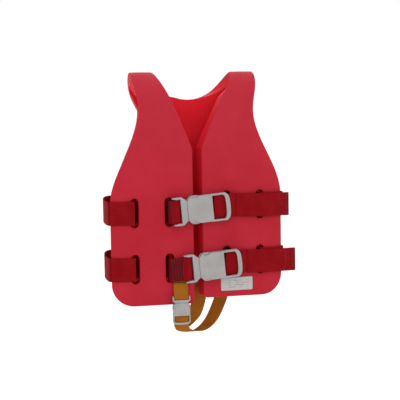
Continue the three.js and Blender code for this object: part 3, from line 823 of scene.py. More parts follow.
@dataclass
class FoamSheet:
    """One piece of the die-cut foam body, from the crown of the folds to its hem."""

    part: Part
    plan: VestPlan
    strap_inner: float = 0.069
    strap_outer: float = 0.107
    strap_taper: float = 0.0035  # how much the straps narrow behind the folds
    armhole_half: float = 0.0995
    back_armhole_half: float = 0.088
    narrow_depth: float = 0.066
    armhole_depth: float = 0.219
    neck_depth: float = 0.131
    back_neck_depth: float = 0.048
    centre_gap: float = 0.017
    centre_slant: float = 0.0055
    hem_outer: float = 0.037
    hem_inner: float = 0.008
    slot_width: float = 0.0144
    slot_height: float = 0.050
    edge_round: float = 0.0012
    side_lean: float = 0.007  # how far the armholes' inner edges lean in on the fronts
    step: float = 0.003  # between points of an edge
    long_step: float = 0.004  # and of a straight edge
    grid: float = 0.005  # between points of a skin
    edge_sink: float = 0.0008  # the skin dips towards the die-cut edges
    belt_sink: float = 0.0009  # and under the belts
    waves: float = 0.0006  # and drifts up and down by this much
    edge_reach: float = 0.007  # how far from an edge the dip is felt
    wave_reach: float = 0.01  # and how far in the waves begin
    wave_scale: tuple[float, float] = (22, 16)  # waves a metre, across and along
    fine_scale: float = 60
    wave_seeds: tuple[float, float] = (7.0, 31.0)  # of the outer and the inner skin
    belt_fade: tuple[float, float] = (0.017, 0.024)  # from a belt's middle
    past_slot: tuple[float, float] = (0.005, 0.012)  # the belts dent the skin from here
    before_slot: tuple[float, float] = (0.011, 0.001)  # and behind the fronts up to here
    behind_inner: tuple[float, float] = (0.052, 0.062)
    back_inner: tuple[float, float] = (0.036, 0.044)
    slant_loss: float = 0.6  # share of the centre's slant that the neckline loses
    slant_reach: float = 0.09  # over this height
    lean_heights: tuple[float, float] = (-0.035, 0.012)  # the side's lean fades here
    lean_reach: float = 0.02  # how far into the skin an edge's lean is felt
    curl_ease: float = 0.03  # the sides' curl comes in over this height
    crown_row: float = 0.001  # the last row of points before the crown
    belly_inset: float = 0.0007  # the cut edges are a little hollow
    belly_ease: float = 0.0004
    belly_share: float = 0.22
    rim_tone: float = 0.45  # how much of the cut's look its rounded rims have

    @property
    def is_back(self) -> bool:
        """Whether this is the back."""
        return self.part is Part.BACK

    @property
    def side(self) -> int:
        """-1 for the wearer's right front, 1 for the others."""
        return -1 if self.part is Part.RIGHT else 1

    def unfolded(self, points: np.ndarray) -> np.ndarray:
        """Outline points by distance along the sheet in place of height."""
        plan = self.plan
        rise = np.clip((points[:, 1] + plan.fold) / plan.face, 0, 1)
        along = np.where(points[:, 1] > -plan.fold, -plan.fold + plan.face * np.arcsin(rise),
                         points[:, 1])
        return np.stack([points[:, 0], along], 1)

    @property
    def far_slot(self) -> float:
        """Centre to the middle of the outer slots."""
        return self.plan.back_slot if self.is_back else self.plan.outer_slot

    @property
    def crown(self) -> float:
        """Distance along the sheet of the folds' crown."""
        return -self.plan.fold + self.plan.face * math.pi / 2

    def outer_line(self) -> np.ndarray:
        """The edge on the +X side from the crown round the armhole to the hem's corner."""
        level = self.plan.level
        chest = self.plan.back_half if self.is_back else self.plan.chest_half
        narrowest = self.back_armhole_half if self.is_back else self.armhole_half
        ease = (self.armhole_depth - self.narrow_depth) / 3
        if self.is_back:
            handles = [(self.strap_outer - self.strap_taper, self.narrow_depth * 0.55),
                       (self.strap_outer - self.strap_taper * 2, self.narrow_depth * 2 / 3)]
        else:
            handles = [(self.strap_outer, self.narrow_depth / 3),
                       (narrowest, self.narrow_depth * 2 / 3)]
        corners = [(self.strap_outer, 0), *handles, (narrowest, self.narrow_depth)]
        narrow = bezier([(x, level(depth)) for x, depth in corners], 200)
        wide = bezier([
            (narrowest, level(self.narrow_depth)),
            (narrowest, level(self.narrow_depth + ease)),
            (chest, level(self.armhole_depth - ease)), (chest, level(self.armhole_depth))], 120)
        corner = arc(chest - self.hem_outer, self.plan.hem_z + self.hem_outer, self.hem_outer,
                     0, -math.pi / 2)
        return self.unfolded(np.concatenate([narrow, wide[1:], corner]))

    def neckline(self) -> np.ndarray:
        """The neckline from the centre up to the crown."""
        if self.is_back:
            start, depth = 0.0, self.back_neck_depth
            handles = [(0.36, 1.0), (0.72, 0.79)]
        else:
            start, depth = self.centre_gap / 2, self.neck_depth
            handles = [(0.28, 0.65), (0.62, 0.29)]
        corners = [(start + (self.strap_inner - start) * across, self.plan.level(depth * deep))
                   for across, deep in [(0.0, 1.0), *handles, (1.0, 0.0)]]
        return self.unfolded(bezier(corners, 200))

    def rings(self) -> list[tuple[np.ndarray, np.ndarray, np.ndarray]]:
        """The outline and the slots.

        Returns:
            For each closed ring its points, the directions into the foam and how much each
            point leans into the centre gap. The outline turns left, the slots turn right.
        """
        outer = evenly(self.outer_line(), self.step)
        neck = evenly(self.neckline(), self.step)
        cap = between((self.strap_inner, self.crown), (self.strap_outer, self.crown),
                      self.long_step)
        if self.is_back:
            half = np.concatenate([cap, outer])
            other = (half * [-1, 1])[::-1]
            hem = between(half[-1], other[0], self.long_step)
            ring = np.concatenate([neck, half, hem, other, (neck * [-1, 1])[::-1][:-1]])
            leans = np.zeros(len(ring))
        else:
            half = self.centre_gap / 2
            corner = arc(half + self.hem_inner, self.plan.hem_z + self.hem_inner,
                         self.hem_inner, -math.pi / 2, -math.pi, 8)
            hem = between(outer[-1], corner[0], self.long_step)
            centre = between(corner[-1], neck[0], self.step)
            inner = np.concatenate([corner, centre, neck])
            ring = np.concatenate([inner, cap, outer, hem])
            neck_z = self.plan.level(self.neck_depth)
            leans = np.zeros(len(ring))
            leans[:len(inner)] = self.centre_slant * (
                1 - self.slant_loss * smoothstep(inner[:, 1], neck_z, neck_z + self.slant_reach))
            first = len(inner) + len(cap)
            leans[first:first + len(outer)] = self.side_lean * (
                1 - smoothstep(outer[:, 1], *self.lean_heights))
        ring, leans = ring[::-1], leans[::-1]
        found = [(ring, self.inward(ring, True), leans)]
        for slot in self.slots():
            found.append((slot, self.inward(slot, False), np.zeros(len(slot))))
        return found

    def slots(self) -> list[np.ndarray]:
        """The webbing slots, each a ring that turns right."""
        reach, radius = (self.slot_height - self.slot_width) / 2, self.slot_width / 2
        found = []
        for x in (self.plan.inner_slot, self.far_slot):
            for z in (self.plan.upper_z, self.plan.lower_z):
                loop = np.concatenate([
                    stretch for way, start in ((1, 0), (-1, math.pi)) for stretch in (
                        arc(x, z + way * reach, radius, start, start + math.pi, 10),
                        between((x - way * radius, z + way * reach),
                                (x - way * radius, z - way * reach), self.step))])
                found.append(loop[::-1])
                if self.is_back:
                    found.append(loop * [-1, 1])
        return found

    def inward(self, ring: np.ndarray, capped: bool) -> np.ndarray:
        """Directions from a ring into the foam; along the crown there is none."""
        along = np.roll(ring, -1, 0) - np.roll(ring, 1, 0)
        along /= np.linalg.norm(along, axis=1)[:, None]
        into = np.stack([-along[:, 1], along[:, 0]], 1)
        if capped:
            on_crown = ring[:, 1] > self.crown - SAME_SPOT
            corner = on_crown & (np.minimum(abs(abs(ring[:, 0]) - self.strap_inner),
                                            abs(abs(ring[:, 0]) - self.strap_outer)) < SAME_SPOT)
            into[on_crown] = 0
            into[corner, 0] = np.where(
                abs(abs(ring[corner, 0]) - self.strap_inner) < SAME_SPOT,
                np.sign(ring[corner, 0]), -np.sign(ring[corner, 0]))
        return into

    def sink(self, spots: np.ndarray, gap: np.ndarray, outer: bool) -> np.ndarray:
        """How far the skin lies below its flat place: at the edges, under belts, in waves."""
        down = self.edge_sink * np.exp(-(gap / self.edge_reach) ** 2)
        x, s = abs(spots[:, 0]), spots[:, 1]
        near_belt = np.zeros(len(x))
        for z in (self.plan.upper_z, self.plan.lower_z):
            near_belt = np.maximum(near_belt, 1 - smoothstep(abs(s - z), *self.belt_fade))
        slot = self.far_slot
        covered = smoothstep(x, *(slot + past for past in self.past_slot))
        if self.is_back:
            covered = np.maximum(covered, 1 - smoothstep(x, *self.back_inner))
        if not outer:
            covered = smoothstep(x, *self.behind_inner) * (
                1 - smoothstep(x, *(slot - short for short in self.before_slot)))
        down = down + self.belt_sink * near_belt * covered
        shift = self.wave_seeds[0 if outer else 1]
        wide, long, fine = *self.wave_scale, self.fine_scale
        drift = np.array([
            noise.noise(Vector((self.side * p[0] * wide + shift, p[1] * long, 3.0)))
            + 0.5 * noise.noise(Vector((self.side * p[0] * fine, p[1] * fine + shift, 9.0)))
            for p in spots])
        return down + self.waves * drift * (1 - np.exp(-(gap / self.wave_reach) ** 2))

    def placed(self, spots: np.ndarray, heights: np.ndarray, leans: np.ndarray) -> np.ndarray:
        """Points of the sheet in the row frame.

        Args:
            spots: place on the sheet, across and along it.
            heights: height above the sheet's inner skin.
            leans: how far the inner skin leans towards the centre.

        Returns:
            The points.
        """
        plan = self.plan
        deep = plan.foam - heights
        x = spots[:, 0] - leans * deep / plan.foam
        s = spots[:, 1]
        turn = np.clip((s + plan.fold) / plan.face, 0, math.pi / 2)
        radius = plan.fold + heights
        y = -radius * np.cos(turn)
        z = np.where(s > -plan.fold, -plan.fold + radius * np.sin(turn), s)
        if self.is_back:
            return np.stack([x, -y, z], 1)
        curl = np.arcsin(np.clip((x - plan.bend_start) / plan.bend_radius, 0, STEEPEST))
        curl = curl * smoothstep(-s, plan.fold, plan.fold + self.curl_ease)
        bent = plan.bend_radius - deep
        y = np.where(curl > 0, plan.bend_radius - plan.face - bent * np.cos(curl), y)
        x = np.where(curl > 0, plan.bend_start + bent * np.sin(curl), x)
        hang = plan.hang * smoothstep(-z, -plan.level(self.narrow_depth),
                                      -plan.level(self.armhole_depth))
        return np.stack([self.side * x, y, z + self.side * hang], 1)

    def skin(self, rings: list) -> tuple[np.ndarray, np.ndarray, np.ndarray, np.ndarray]:
        """Triangulates one skin inside the inset rings.

        Args:
            rings: the rings from `rings`.

        Returns:
            The skin's points, their leans, their distances from an edge and its triangles.
        """
        inset = [ring + into * self.edge_round for ring, into, _ in rings]
        rim = np.concatenate(inset)
        rim_lean = np.concatenate([lean for _, _, lean in rings])
        low, high = rim.min(0), rim.max(0)
        rows = np.arange(low[1], high[1], self.grid * ROW_RATIO)
        rows = np.concatenate([rows, [self.crown - self.crown_row]])
        spots = np.array([
            (x, s) for j, s in enumerate(rows)
            for x in np.arange(low[0] + (j % 2) * self.grid / 2, high[0], self.grid)])
        spots = spots[inside_foam(spots, inset)]
        gaps = np.linalg.norm(spots[:, None] - rim[None], axis=2)
        nearest, gap = gaps.argmin(1), gaps.min(1)
        keep = gap > self.grid * 0.5
        spots, nearest, gap = spots[keep], nearest[keep], gap[keep]
        lean = rim_lean[nearest] * np.exp(-gap / self.lean_reach)
        points = np.concatenate([rim, spots])
        edges, start = [], 0
        for ring in inset:
            count = len(ring)
            edges += [(start + i, start + (i + 1) % count) for i in range(count)]
            start += count
        made = delaunay_2d_cdt([Vector(p) for p in points], edges, [], 0, 1e-7, True)
        back = [sources[0] for sources in made[3]]
        faces = np.array([[back[i] for i in f] for f in made[2]])
        keep = inside_foam(points[faces].mean(1), inset)
        gap = np.concatenate([np.zeros(len(rim)), gap])
        return points, np.concatenate([rim_lean, lean]), gap, faces[keep]

    def build(self, palette: Palette) -> bpy.types.Object:
        """Args:
            palette: the vest's materials.

        Returns:
            The foam piece.
        """
        rings = self.rings()
        spots, leans, gap, faces = self.skin(rings)
        foam, bevel = self.plan.foam, self.edge_round
        top = foam - self.sink(spots, gap, True)
        base = self.sink(spots, gap, False)
        edge_top, edge_base = foam - self.edge_sink, self.edge_sink
        belly = (edge_top + edge_base) / 2
        levels = [(k * bevel, edge_top - d * bevel) for k, d in QUARTER_ROUND]
        ease, rise = self.belly_ease, foam * self.belly_share
        levels += [(ease, belly + rise), (self.belly_inset, belly), (ease, belly - rise)]
        levels += [(k * bevel, edge_base + d * bevel) for k, d in reversed(QUARTER_ROUND)]
        points = [self.placed(spots, top, leans), self.placed(spots, base, leans)]
        cut = [np.zeros(len(spots)), np.zeros(len(spots))]
        # painted bounce light: 1 on the inner skin, 0 on the outer, fading up the cut edges below
        painted_bounce_light = [np.zeros(len(spots)), np.ones(len(spots))]
        count = len(spots)
        triangles = [tuple(f) for f in faces] + [tuple(f[::-1] + count) for f in faces]
        quads, start, total = [], 0, 2 * count
        for ring, into, lean in rings:
            size = len(ring)
            rows = [np.arange(start, start + size)]
            for inset, height in levels:
                points.append(self.placed(ring + into * inset, np.full(size, height), lean))
                share = self.rim_tone if inset > bevel * 0.3 else 1.0
                cut.append(np.full(size, share))
                painted_bounce_light.append(np.full(size, 1 - height / foam))
                rows.append(np.arange(total, total + size))
                total += size
            rows.append(np.arange(start, start + size) + count)
            for upper, lower in zip(rows, rows[1:]):
                for i in range(size):
                    j = (i + 1) % size
                    quads.append((upper[i], lower[i], lower[j], upper[j]))
            start += size
        mesh = bpy.data.meshes.new(f"foam_{self.part.value}")
        mesh.from_pydata([tuple(p) for p in np.concatenate(points)], [],
                         [tuple(int(i) for i in f) for f in triangles + quads])
        for key, values in (("cut_edge", np.concatenate(cut)),
                            ("painted_bounce_light", np.concatenate(painted_bounce_light))):
            layer = mesh.attributes.new(key, "FLOAT", "POINT")
            layer.data.foreach_set("value", values.astype(np.float32))
        self.tidy_normals(mesh)
        piece = linked(mesh.name, mesh, palette.foam)
        if self.is_back:
            rides(piece, "back", Slot.FOAM, "back_panel")
        else:
            node = "front_panel_right" if self.part is Part.RIGHT else "front_panel_left"
            bends(piece, ("back", self.part.value),
                  (Vector((0, 0, 0)), Vector((0, -0.010, -0.030))), Slot.FOAM, node)
        return piece

    def tidy_normals(self, mesh: bpy.types.Mesh) -> None:
        """Turns the faces outwards, smooths them and keeps the cut on the crown sharp."""
        work = bmesh.new()
        work.from_mesh(mesh)
        bmesh.ops.recalc_face_normals(work, faces=work.faces)
        for edge in work.edges:
            flat = [all(abs(v.co.y) < 1e-6 for v in face.verts) for face in edge.link_faces]
            edge.smooth = not (any(flat) and not all(flat))
        for face in work.faces:
            face.smooth = True
        written(work, mesh)


# ---------------------------------------------------------------- webbing


def rounded(corners: list[Vector], radius: float, steps: int = 6) -> list[Vector]:
    """A line through corners, each rounded.

    Args:
        corners: the corner points.
        radius: about the radius of each bend.
        steps: points in a bend.

    Returns:
        The line's points.
    """
    points = [corners[0]]
    for before, corner, after in zip(corners, corners[1:], corners[2:]):
        into, out = corner - before, after - corner
        turn = into.angle(out)
        reach = min(radius * math.tan(turn / 2), into.length * 0.48, out.length * 0.48)
        start = corner - into.normalized() * reach
        end = corner + out.normalized() * reach
        if turn < 0.2:
            points.append(corner)
            continue
        for i in range(steps + 1):
            t = i / steps
            points.append(start * (1 - t) ** 2 + corner * (2 * t * (1 - t)) + end * t ** 2)
    points.append(corners[-1])
    return points


def catmull(corners: list[Vector], count: int = 400) -> list[Vector]:
    """A centripetal smooth curve through corners, evenly sampled."""
    ends = [corners[0] * 2 - corners[1], *corners, corners[-1] * 2 - corners[-2]]
    points = []
    for p0, p1, p2, p3 in zip(ends, ends[1:], ends[2:], ends[3:]):
        d0, d1, d2 = [max((b - a).length, 1e-9) ** 0.5
                      for a, b in ((p0, p1), (p1, p2), (p2, p3))]
        m1 = ((p1 - p0) / d0 - (p2 - p0) / (d0 + d1) + (p2 - p1) / d1) * d1
        m2 = ((p2 - p1) / d1 - (p3 - p1) / (d1 + d2) + (p3 - p2) / d2) * d1
        for i in range(40):
            t = i / 40
            points.append(
                p1 * (2 * t ** 3 - 3 * t ** 2 + 1) + m1 * (t ** 3 - 2 * t ** 2 + t)
                + p2 * (3 * t ** 2 - 2 * t ** 3) + m2 * (t ** 3 - t ** 2))
    points.append(corners[-1])
    line = evenly(np.array([tuple(p) for p in points]), 1e-9 + path_length(points) / count)
    return [Vector(p) for p in line]


def path_length(points: list[Vector]) -> float:
    """Length of a line of points."""
    return sum((b - a).length for a, b in zip(points, points[1:]))


def part_of(line: list[Vector], start: float, end: float) -> list[Vector]:
    """The part of a line between two shares of its length, evenly sampled."""
    points = np.array([tuple(p) for p in line])
    length = distances(points)
    count = max(int((end - start) * length[-1] / PART_STEP), 4)
    at = np.linspace(start * length[-1], end * length[-1], count + 1)
    return [Vector(p) for p in at_distances(points, length, at)]


@dataclass
class Strap:
    """A length of webbing with soft selvedges, laid along a route."""

    name: str
    route: list[Vector]
    across: Vector
    width: float
    thickness: float
    sewn: tuple[float, float] | None = None  # stretch of the length that is doubled and sewn
    columns: int = 8

    def section(self) -> list[tuple[float, float]]:
        """The tape's section, across it and through it."""
        edge, half = self.width / 2 - self.thickness / 2, self.thickness / 2
        top = [(edge - 2 * edge * i / self.columns, half) for i in range(self.columns + 1)]
        turned = [(-edge - half * math.sin(a), half * math.cos(a))
                  for a in (math.pi / 3.2, math.pi / 2, math.pi - math.pi / 3.2)]
        under = [(-a, -b) for a, b in top]
        return top + turned + under + [(-a, -b) for a, b in turned]

    def filled(self) -> list[Vector]:
        """The route with its long straight stretches divided."""
        points = [self.route[0]]
        for a, b in zip(self.route, self.route[1:]):
            count = max(int((b - a).length / 0.003), 1)
            points += [a.lerp(b, (i + 1) / count) for i in range(count)]
        return points

    def build(self, material: bpy.types.Material) -> bpy.types.Object:
        """Lofts the tape and maps its weave in metres.

        Args:
            material: the webbing's finish.

        Returns:
            The tape as a piece that rides on nothing yet.
        """
        points, section = self.filled(), self.section()
        size = len(section)
        corners: list[Vector] = []
        run = [0.0]
        for i, point in enumerate(points):
            into = (point - points[max(i - 1, 0)]).normalized()
            out = (points[min(i + 1, len(points) - 1)] - point).normalized()
            along = (into + out).normalized()
            ended = i in (0, len(points) - 1)
            mitre = 1.0 if ended else max(along.dot(out), 0.5)
            face = self.across.cross(along).normalized() / mitre
            corners += [point + self.across * a + face * b for a, b in section]
            if i:
                run.append(run[-1] + (point - points[i - 1]).length)
        faces = [[size * i + k, size * i + (k + 1) % size, size * (i + 1) + (k + 1) % size,
                  size * (i + 1) + k] for i in range(len(points) - 1) for k in range(size)]
        last = size * (len(points) - 1)
        faces += [list(range(size))[::-1], [last + k for k in range(size)]]
        mesh = bpy.data.meshes.new(self.name)
        mesh.from_pydata(corners, [], faces)
        layer = mesh.uv_layers.new(name="weave")
        for loop in mesh.loops:
            row, place = divmod(loop.vertex_index, size)
            layer.data[loop.index].uv = (section[place][0] + self.width, run[row])
        tone = mesh.attributes.new("sewn", "FLOAT", "POINT")
        if self.sewn:
            start, end = self.sewn
            tone.data.foreach_set("value", [
                1.0 if start <= run[i // size] <= end else 0.0 for i in range(len(corners))])
        work = bmesh.new()
        work.from_mesh(mesh)
        bmesh.ops.recalc_face_normals(work, faces=work.faces)
        for face in work.faces:
            face.smooth = len(face.verts) == 4
        written(work, mesh)
        return linked(self.name, mesh, material)


@dataclass(frozen=True)
class BuckleSizes:
    """Sizes of a side-release buckle in its own frame, the plug pointing along +X."""

    webbing: float
    layer: float
    scale: float  # of its walls
    stretch: float  # of its lengths

    @property
    def slot_half(self) -> float:
        """Half the length of each webbing slot."""
        return self.webbing / 2 + 0.0005

    @property
    def body_half(self) -> float:
        """Half the width of the socket."""
        return self.slot_half + 0.0025 * self.scale

    @property
    def plug_bar(self) -> tuple[float, float]:
        """Start and end of the bar that the plug's webbing goes round."""
        return -0.019 * self.stretch, -0.015 * self.stretch

    @property
    def plug_bar_half(self) -> float:
        """Half the bar's thickness."""
        return 0.002 * self.scale

    @property
    def gate_bar(self) -> tuple[float, float]:
        """Start and end of the adjuster's bar."""
        return 0.0475 * self.stretch, 0.051 * self.stretch

    @property
    def gate_floor(self) -> float:
        """The socket's middle to the back of the adjuster's bar."""
        return 0.003 * self.scale

    @property
    def frame_length(self) -> float:
        """Mouth to the end of the adjuster's frame."""
        return 0.074 * self.stretch


@dataclass
class Belt:
    """One of the two belts: woven through the foam, with its loop, adjuster wrap and end."""

    key: str  # "upper" or "lower"
    plan: VestPlan
    overhang: float
    palette: Palette
    thread: StitchTree
    thickness: float = 0.0016
    right_slack: float = 0.005
    left_slack: float = 0.004
    corner: float = 0.003  # radius of the bends at the slots
    tight: float = 0.0018  # and round the bars
    crotch_layer: float = 0.0013  # the crotch strap's webbing under the plug loop
    loop_close: float = 0.008  # before the plug's bar, where the loop's layers meet
    loop_row: float = 0.0045  # between the rows of stitches on the loop
    tail_run: float = 0.013  # adjuster to the start of the free end
    tail_gap: float = 0.0006
    tail_touch: float = 0.018  # the free end leaves the foam this far before the side
    tail_tuck: tuple[float, float] = (0.003, 0.0001)  # its start lies back and out in the wrap
    wrap_play: float = 0.0002  # behind the adjuster's bar
    wrap_end: float = 0.003  # length of the wrap's last flat
    hem_length: float = 0.022
    hem_rows: tuple[float, float] = (0.004, 0.019)  # rows of stitches, from the tip

    @property
    def lift(self) -> float:
        """Foam face to the middle of a belt on it."""
        return FOAM_LIFT + self.thickness / 2

    @property
    def layer(self) -> float:
        """Between the middles of two layers that lie together."""
        return self.thickness + CLEARANCE + 0.0001

    @property
    def z(self) -> float:
        """Height of the belt's middle at the back."""
        return self.plan.belt_z(self.key)

    @property
    def mouth(self) -> float:
        """Where this belt's plug enters its socket."""
        return self.plan.upper_mouth if self.key == "upper" else self.plan.lower_mouth

    @property
    def buckle(self) -> BuckleSizes:
        """Sizes of this belt's buckle."""
        return BuckleSizes(self.plan.belt_width, self.thickness, 1.0, 1.0)

    @property
    def buckle_lift(self) -> float:
        """Foam face to the middle of the buckle."""
        return 0.0075

    @property
    def tilted(self) -> Matrix:
        """Carries the fastening, drawn level about the origin, to its place."""
        plan = self.plan
        height = plan.upper_fastening if self.key == "upper" else plan.lower_fastening
        return Matrix.Translation((0, 0, height)) @ Matrix.Rotation(-plan.tilt, 4, "Y")

    @property
    def levelled(self) -> Matrix:
        """Carries the free end to its place, in line with the end of the wrap."""
        rise = self.tail_start * (math.sin(self.plan.tilt) - math.sin(self.plan.tail_tilt))
        height = self.tilted.translation.z + rise - self.plan.tail_drop
        turn = Matrix.Rotation(-self.plan.tail_tilt, 4, "Y")
        return Matrix.Translation((0, 0, height)) @ turn

    def strap(self, piece: str, route: list[Vector], sewn: tuple[float, float] | None = None,
              across: Vector = UP) -> bpy.types.Object:
        """One stretch of this belt."""
        tape = Strap(f"{self.key}_belt_{piece}_tape", route, across, self.plan.belt_width,
                     self.thickness, sewn)
        return tape.build(self.palette.belt)

    def fastened(self, pairs: list[tuple[float, float]], radius: float) -> list[Vector]:
        """A tilted route from x and lift pairs."""
        flat = [Vector((x, -self.plan.face - lift, 0)) for x, lift in pairs]
        return [self.tilted @ p for p in rounded(flat, radius)]

    def build(self) -> None:
        """Builds every stretch of the belt and its stitches."""
        self.back()
        for side, name in ((-1, "right"), (1, "left")):
            self.bow(side, name)
            self.front(side, name)
        self.plug_loop()
        self.adjuster_wrap()
        self.tail()

    def back(self) -> None:
        """The stretch that is woven through the back."""
        plan = self.plan
        behind, within = plan.face + self.lift, plan.fold - self.lift
        end = plan.back_half + STRIP_END
        half = [(end, behind), (plan.back_slot, behind), (plan.back_slot, within),
                (plan.inner_slot, within), (plan.inner_slot, behind)]
        route = half + [(-x, y) for x, y in reversed(half)]
        line = rounded([Vector((x, y, self.z)) for x, y in route], self.corner)
        rides(self.strap("back", line), "back", Slot.BELT, f"{self.key}_belt_back")

    def bow(self, side: int, name: str) -> None:
        """The free stretch at a side, from the front round to the back."""
        plan = self.plan
        slack = self.right_slack if side < 0 else self.left_slack
        start_x = plan.chest_half + STRIP_END + CLEARANCE
        end_x = plan.back_half + STRIP_END + CLEARANCE
        start = plan.on_front(side, start_x, self.lift, self.z + side * plan.hang)
        end = Vector((side * end_x, plan.face + self.lift, self.z))
        reach, back_reach = [side * (slack + plan.chest_half - x) / 0.75
                             for x in (start_x, end_x)]
        curl = abs(reach) * math.tan(plan.side_turn)
        p = [start, start + Vector((reach, curl, 0)), end + Vector((back_reach, 0, 0)), end]
        line = [Vector(spot) for spot in bezier([tuple(q) for q in p], 40)]
        piece = self.strap(f"side_{name}", line)
        bends(piece, ("back", f"front_{name}"), (end, start), Slot.BELT,
              f"{self.key}_belt_side_{name}")

    def front(self, side: int, name: str) -> None:
        """The stretch from the side edge through a front's two slots."""
        plan = self.plan
        end = plan.chest_half + STRIP_END
        behind = -plan.foam - self.lift
        pairs = [(end - i * (end - plan.outer_slot) / 12, self.lift) for i in range(13)]
        pairs += [(plan.outer_slot, behind), (plan.inner_slot, behind),
                  (plan.inner_slot, -plan.foam / 2 - CLEARANCE)]
        height = self.z + side * plan.hang
        corners = [plan.on_front(side, x, lift, height) for x, lift in pairs]
        piece = self.strap(f"front_{name}", rounded(corners, self.corner))
        rides(piece, f"front_{name}", Slot.BELT, f"{self.key}_belt_front_{name}")

    def plug_loop(self) -> None:
        """Doubled webbing from the right front's slot round the plug's bar."""
        plan, buckle = self.plan, self.buckle
        bar = [self.mouth + x for x in buckle.plug_bar]
        gap = CLEARANCE + self.thickness / 2
        over = self.buckle_lift + buckle.plug_bar_half + gap
        under = self.buckle_lift - buckle.plug_bar_half - gap
        low = self.lift + self.crotch_layer + CLEARANCE + 0.0005
        spread = bar[0] - self.loop_close
        slot, half = -plan.inner_slot, self.layer / 2
        pairs = [
            (slot - half, -plan.foam / 2), (slot - half, low + self.layer),
            (spread, low + self.layer), (bar[0] - 0.001, over), (bar[1] + gap, over),
            (bar[1] + gap, under), (bar[0] - 0.001, under), (spread, low), (slot + half, low),
            (slot + half, -plan.foam / 2)]
        rise = plan.foam / 2 + low + self.layer
        seam = rise + (spread - slot)
        piece = self.strap("plug_loop", self.fastened(pairs, self.tight), (rise - 0.004, seam))
        ends = (self.tilted @ Vector((slot, 0, 0)), self.tilted @ Vector((bar[0], 0, 0)))
        bodies = ("front_right", f"{self.key}_plug")
        bends(piece, bodies, ends, Slot.BELT, f"{self.key}_belt_plug_loop")
        skin = -plan.face - low - self.layer - self.thickness / 2 - GUIDE_LIFT
        reach = plan.belt_width / 2 - 0.002
        lines = []
        for x in np.arange(slot + 0.003, spread + 0.0005, self.loop_row):
            lines.append([self.tilted @ Vector((x, skin, z)) for z in (-reach, reach)])
        sewn = self.thread.sew(f"{self.key}_loop_stitches", lines, self.palette.thread)
        bends(sewn, bodies, ends, Slot.BELT)

    @property
    def tail_start(self) -> float:
        """Where the free end leaves the adjuster."""
        return self.mouth + self.buckle.frame_length + self.tail_run

    @property
    def tail_lift(self) -> float:
        """Foam face to the middle of the free end."""
        return self.lift + self.layer + self.tail_gap

    def adjuster_wrap(self) -> None:
        """From the left front's slot round the adjuster's bar and out under the bow."""
        plan, buckle = self.plan, self.buckle
        gap = CLEARANCE + self.thickness / 2
        turn = self.mouth + buckle.gate_bar[0] - gap
        under = self.buckle_lift - buckle.gate_floor - gap - self.wrap_play
        over = self.buckle_lift + gap
        pairs = [
            (plan.inner_slot, -plan.foam / 2), (plan.inner_slot, under), (turn, under),
            (turn, over), (self.mouth + buckle.frame_length + 0.001, over),
            (self.tail_start - self.wrap_end, self.tail_lift), (self.tail_start, self.tail_lift)]
        piece = self.strap("adjuster_wrap", self.fastened(pairs, self.tight))
        rides(piece, "front_left", Slot.BELT, f"{self.key}_belt_adjuster_wrap")

    def tail(self) -> None:
        """The free end along the left front, hemmed and stitched at its tip."""
        plan = self.plan
        start, touch = self.tail_start, plan.chest_half - self.tail_touch
        points = [plan.on_front(1, start + (touch - start) * i / 10, self.tail_lift, 0)
                  for i in range(11)]
        heading = (points[-1] - points[-2]).normalized()
        reach = (plan.chest_half + self.overhang - points[-1].x) / heading.x
        tip = points[-1] + heading * reach
        points[0] -= Vector((*self.tail_tuck, 0))
        line = [self.levelled @ p for p in [*points, tip]]
        piece = self.strap("tail", line)
        rides(piece, "front_left", Slot.BELT, f"{self.key}_belt_tail")
        inward = Vector((-heading.y, heading.x, 0))
        fold = [tip - heading * 0.001 + inward * self.layer,
                tip - heading * self.hem_length + inward * self.layer]
        lap = [tip, tip + heading * 0.0008 + inward * self.layer / 2, *fold]
        hem = self.strap("tail_hem", [self.levelled @ p for p in lap])
        rides(hem, "front_left", Slot.BELT)
        rows = []
        half = plan.belt_width / 2 - 0.003
        for back in self.hem_rows:
            spot = tip - heading * back - inward * (self.thickness / 2 + GUIDE_LIFT)
            rows.append([self.levelled @ (spot + UP * z) for z in (-half, half)])
        sewn = self.thread.sew(f"{self.key}_tail_stitches", rows, self.palette.thread)
        rides(sewn, "front_left", Slot.BELT)


# ---------------------------------------------------------------- buckles


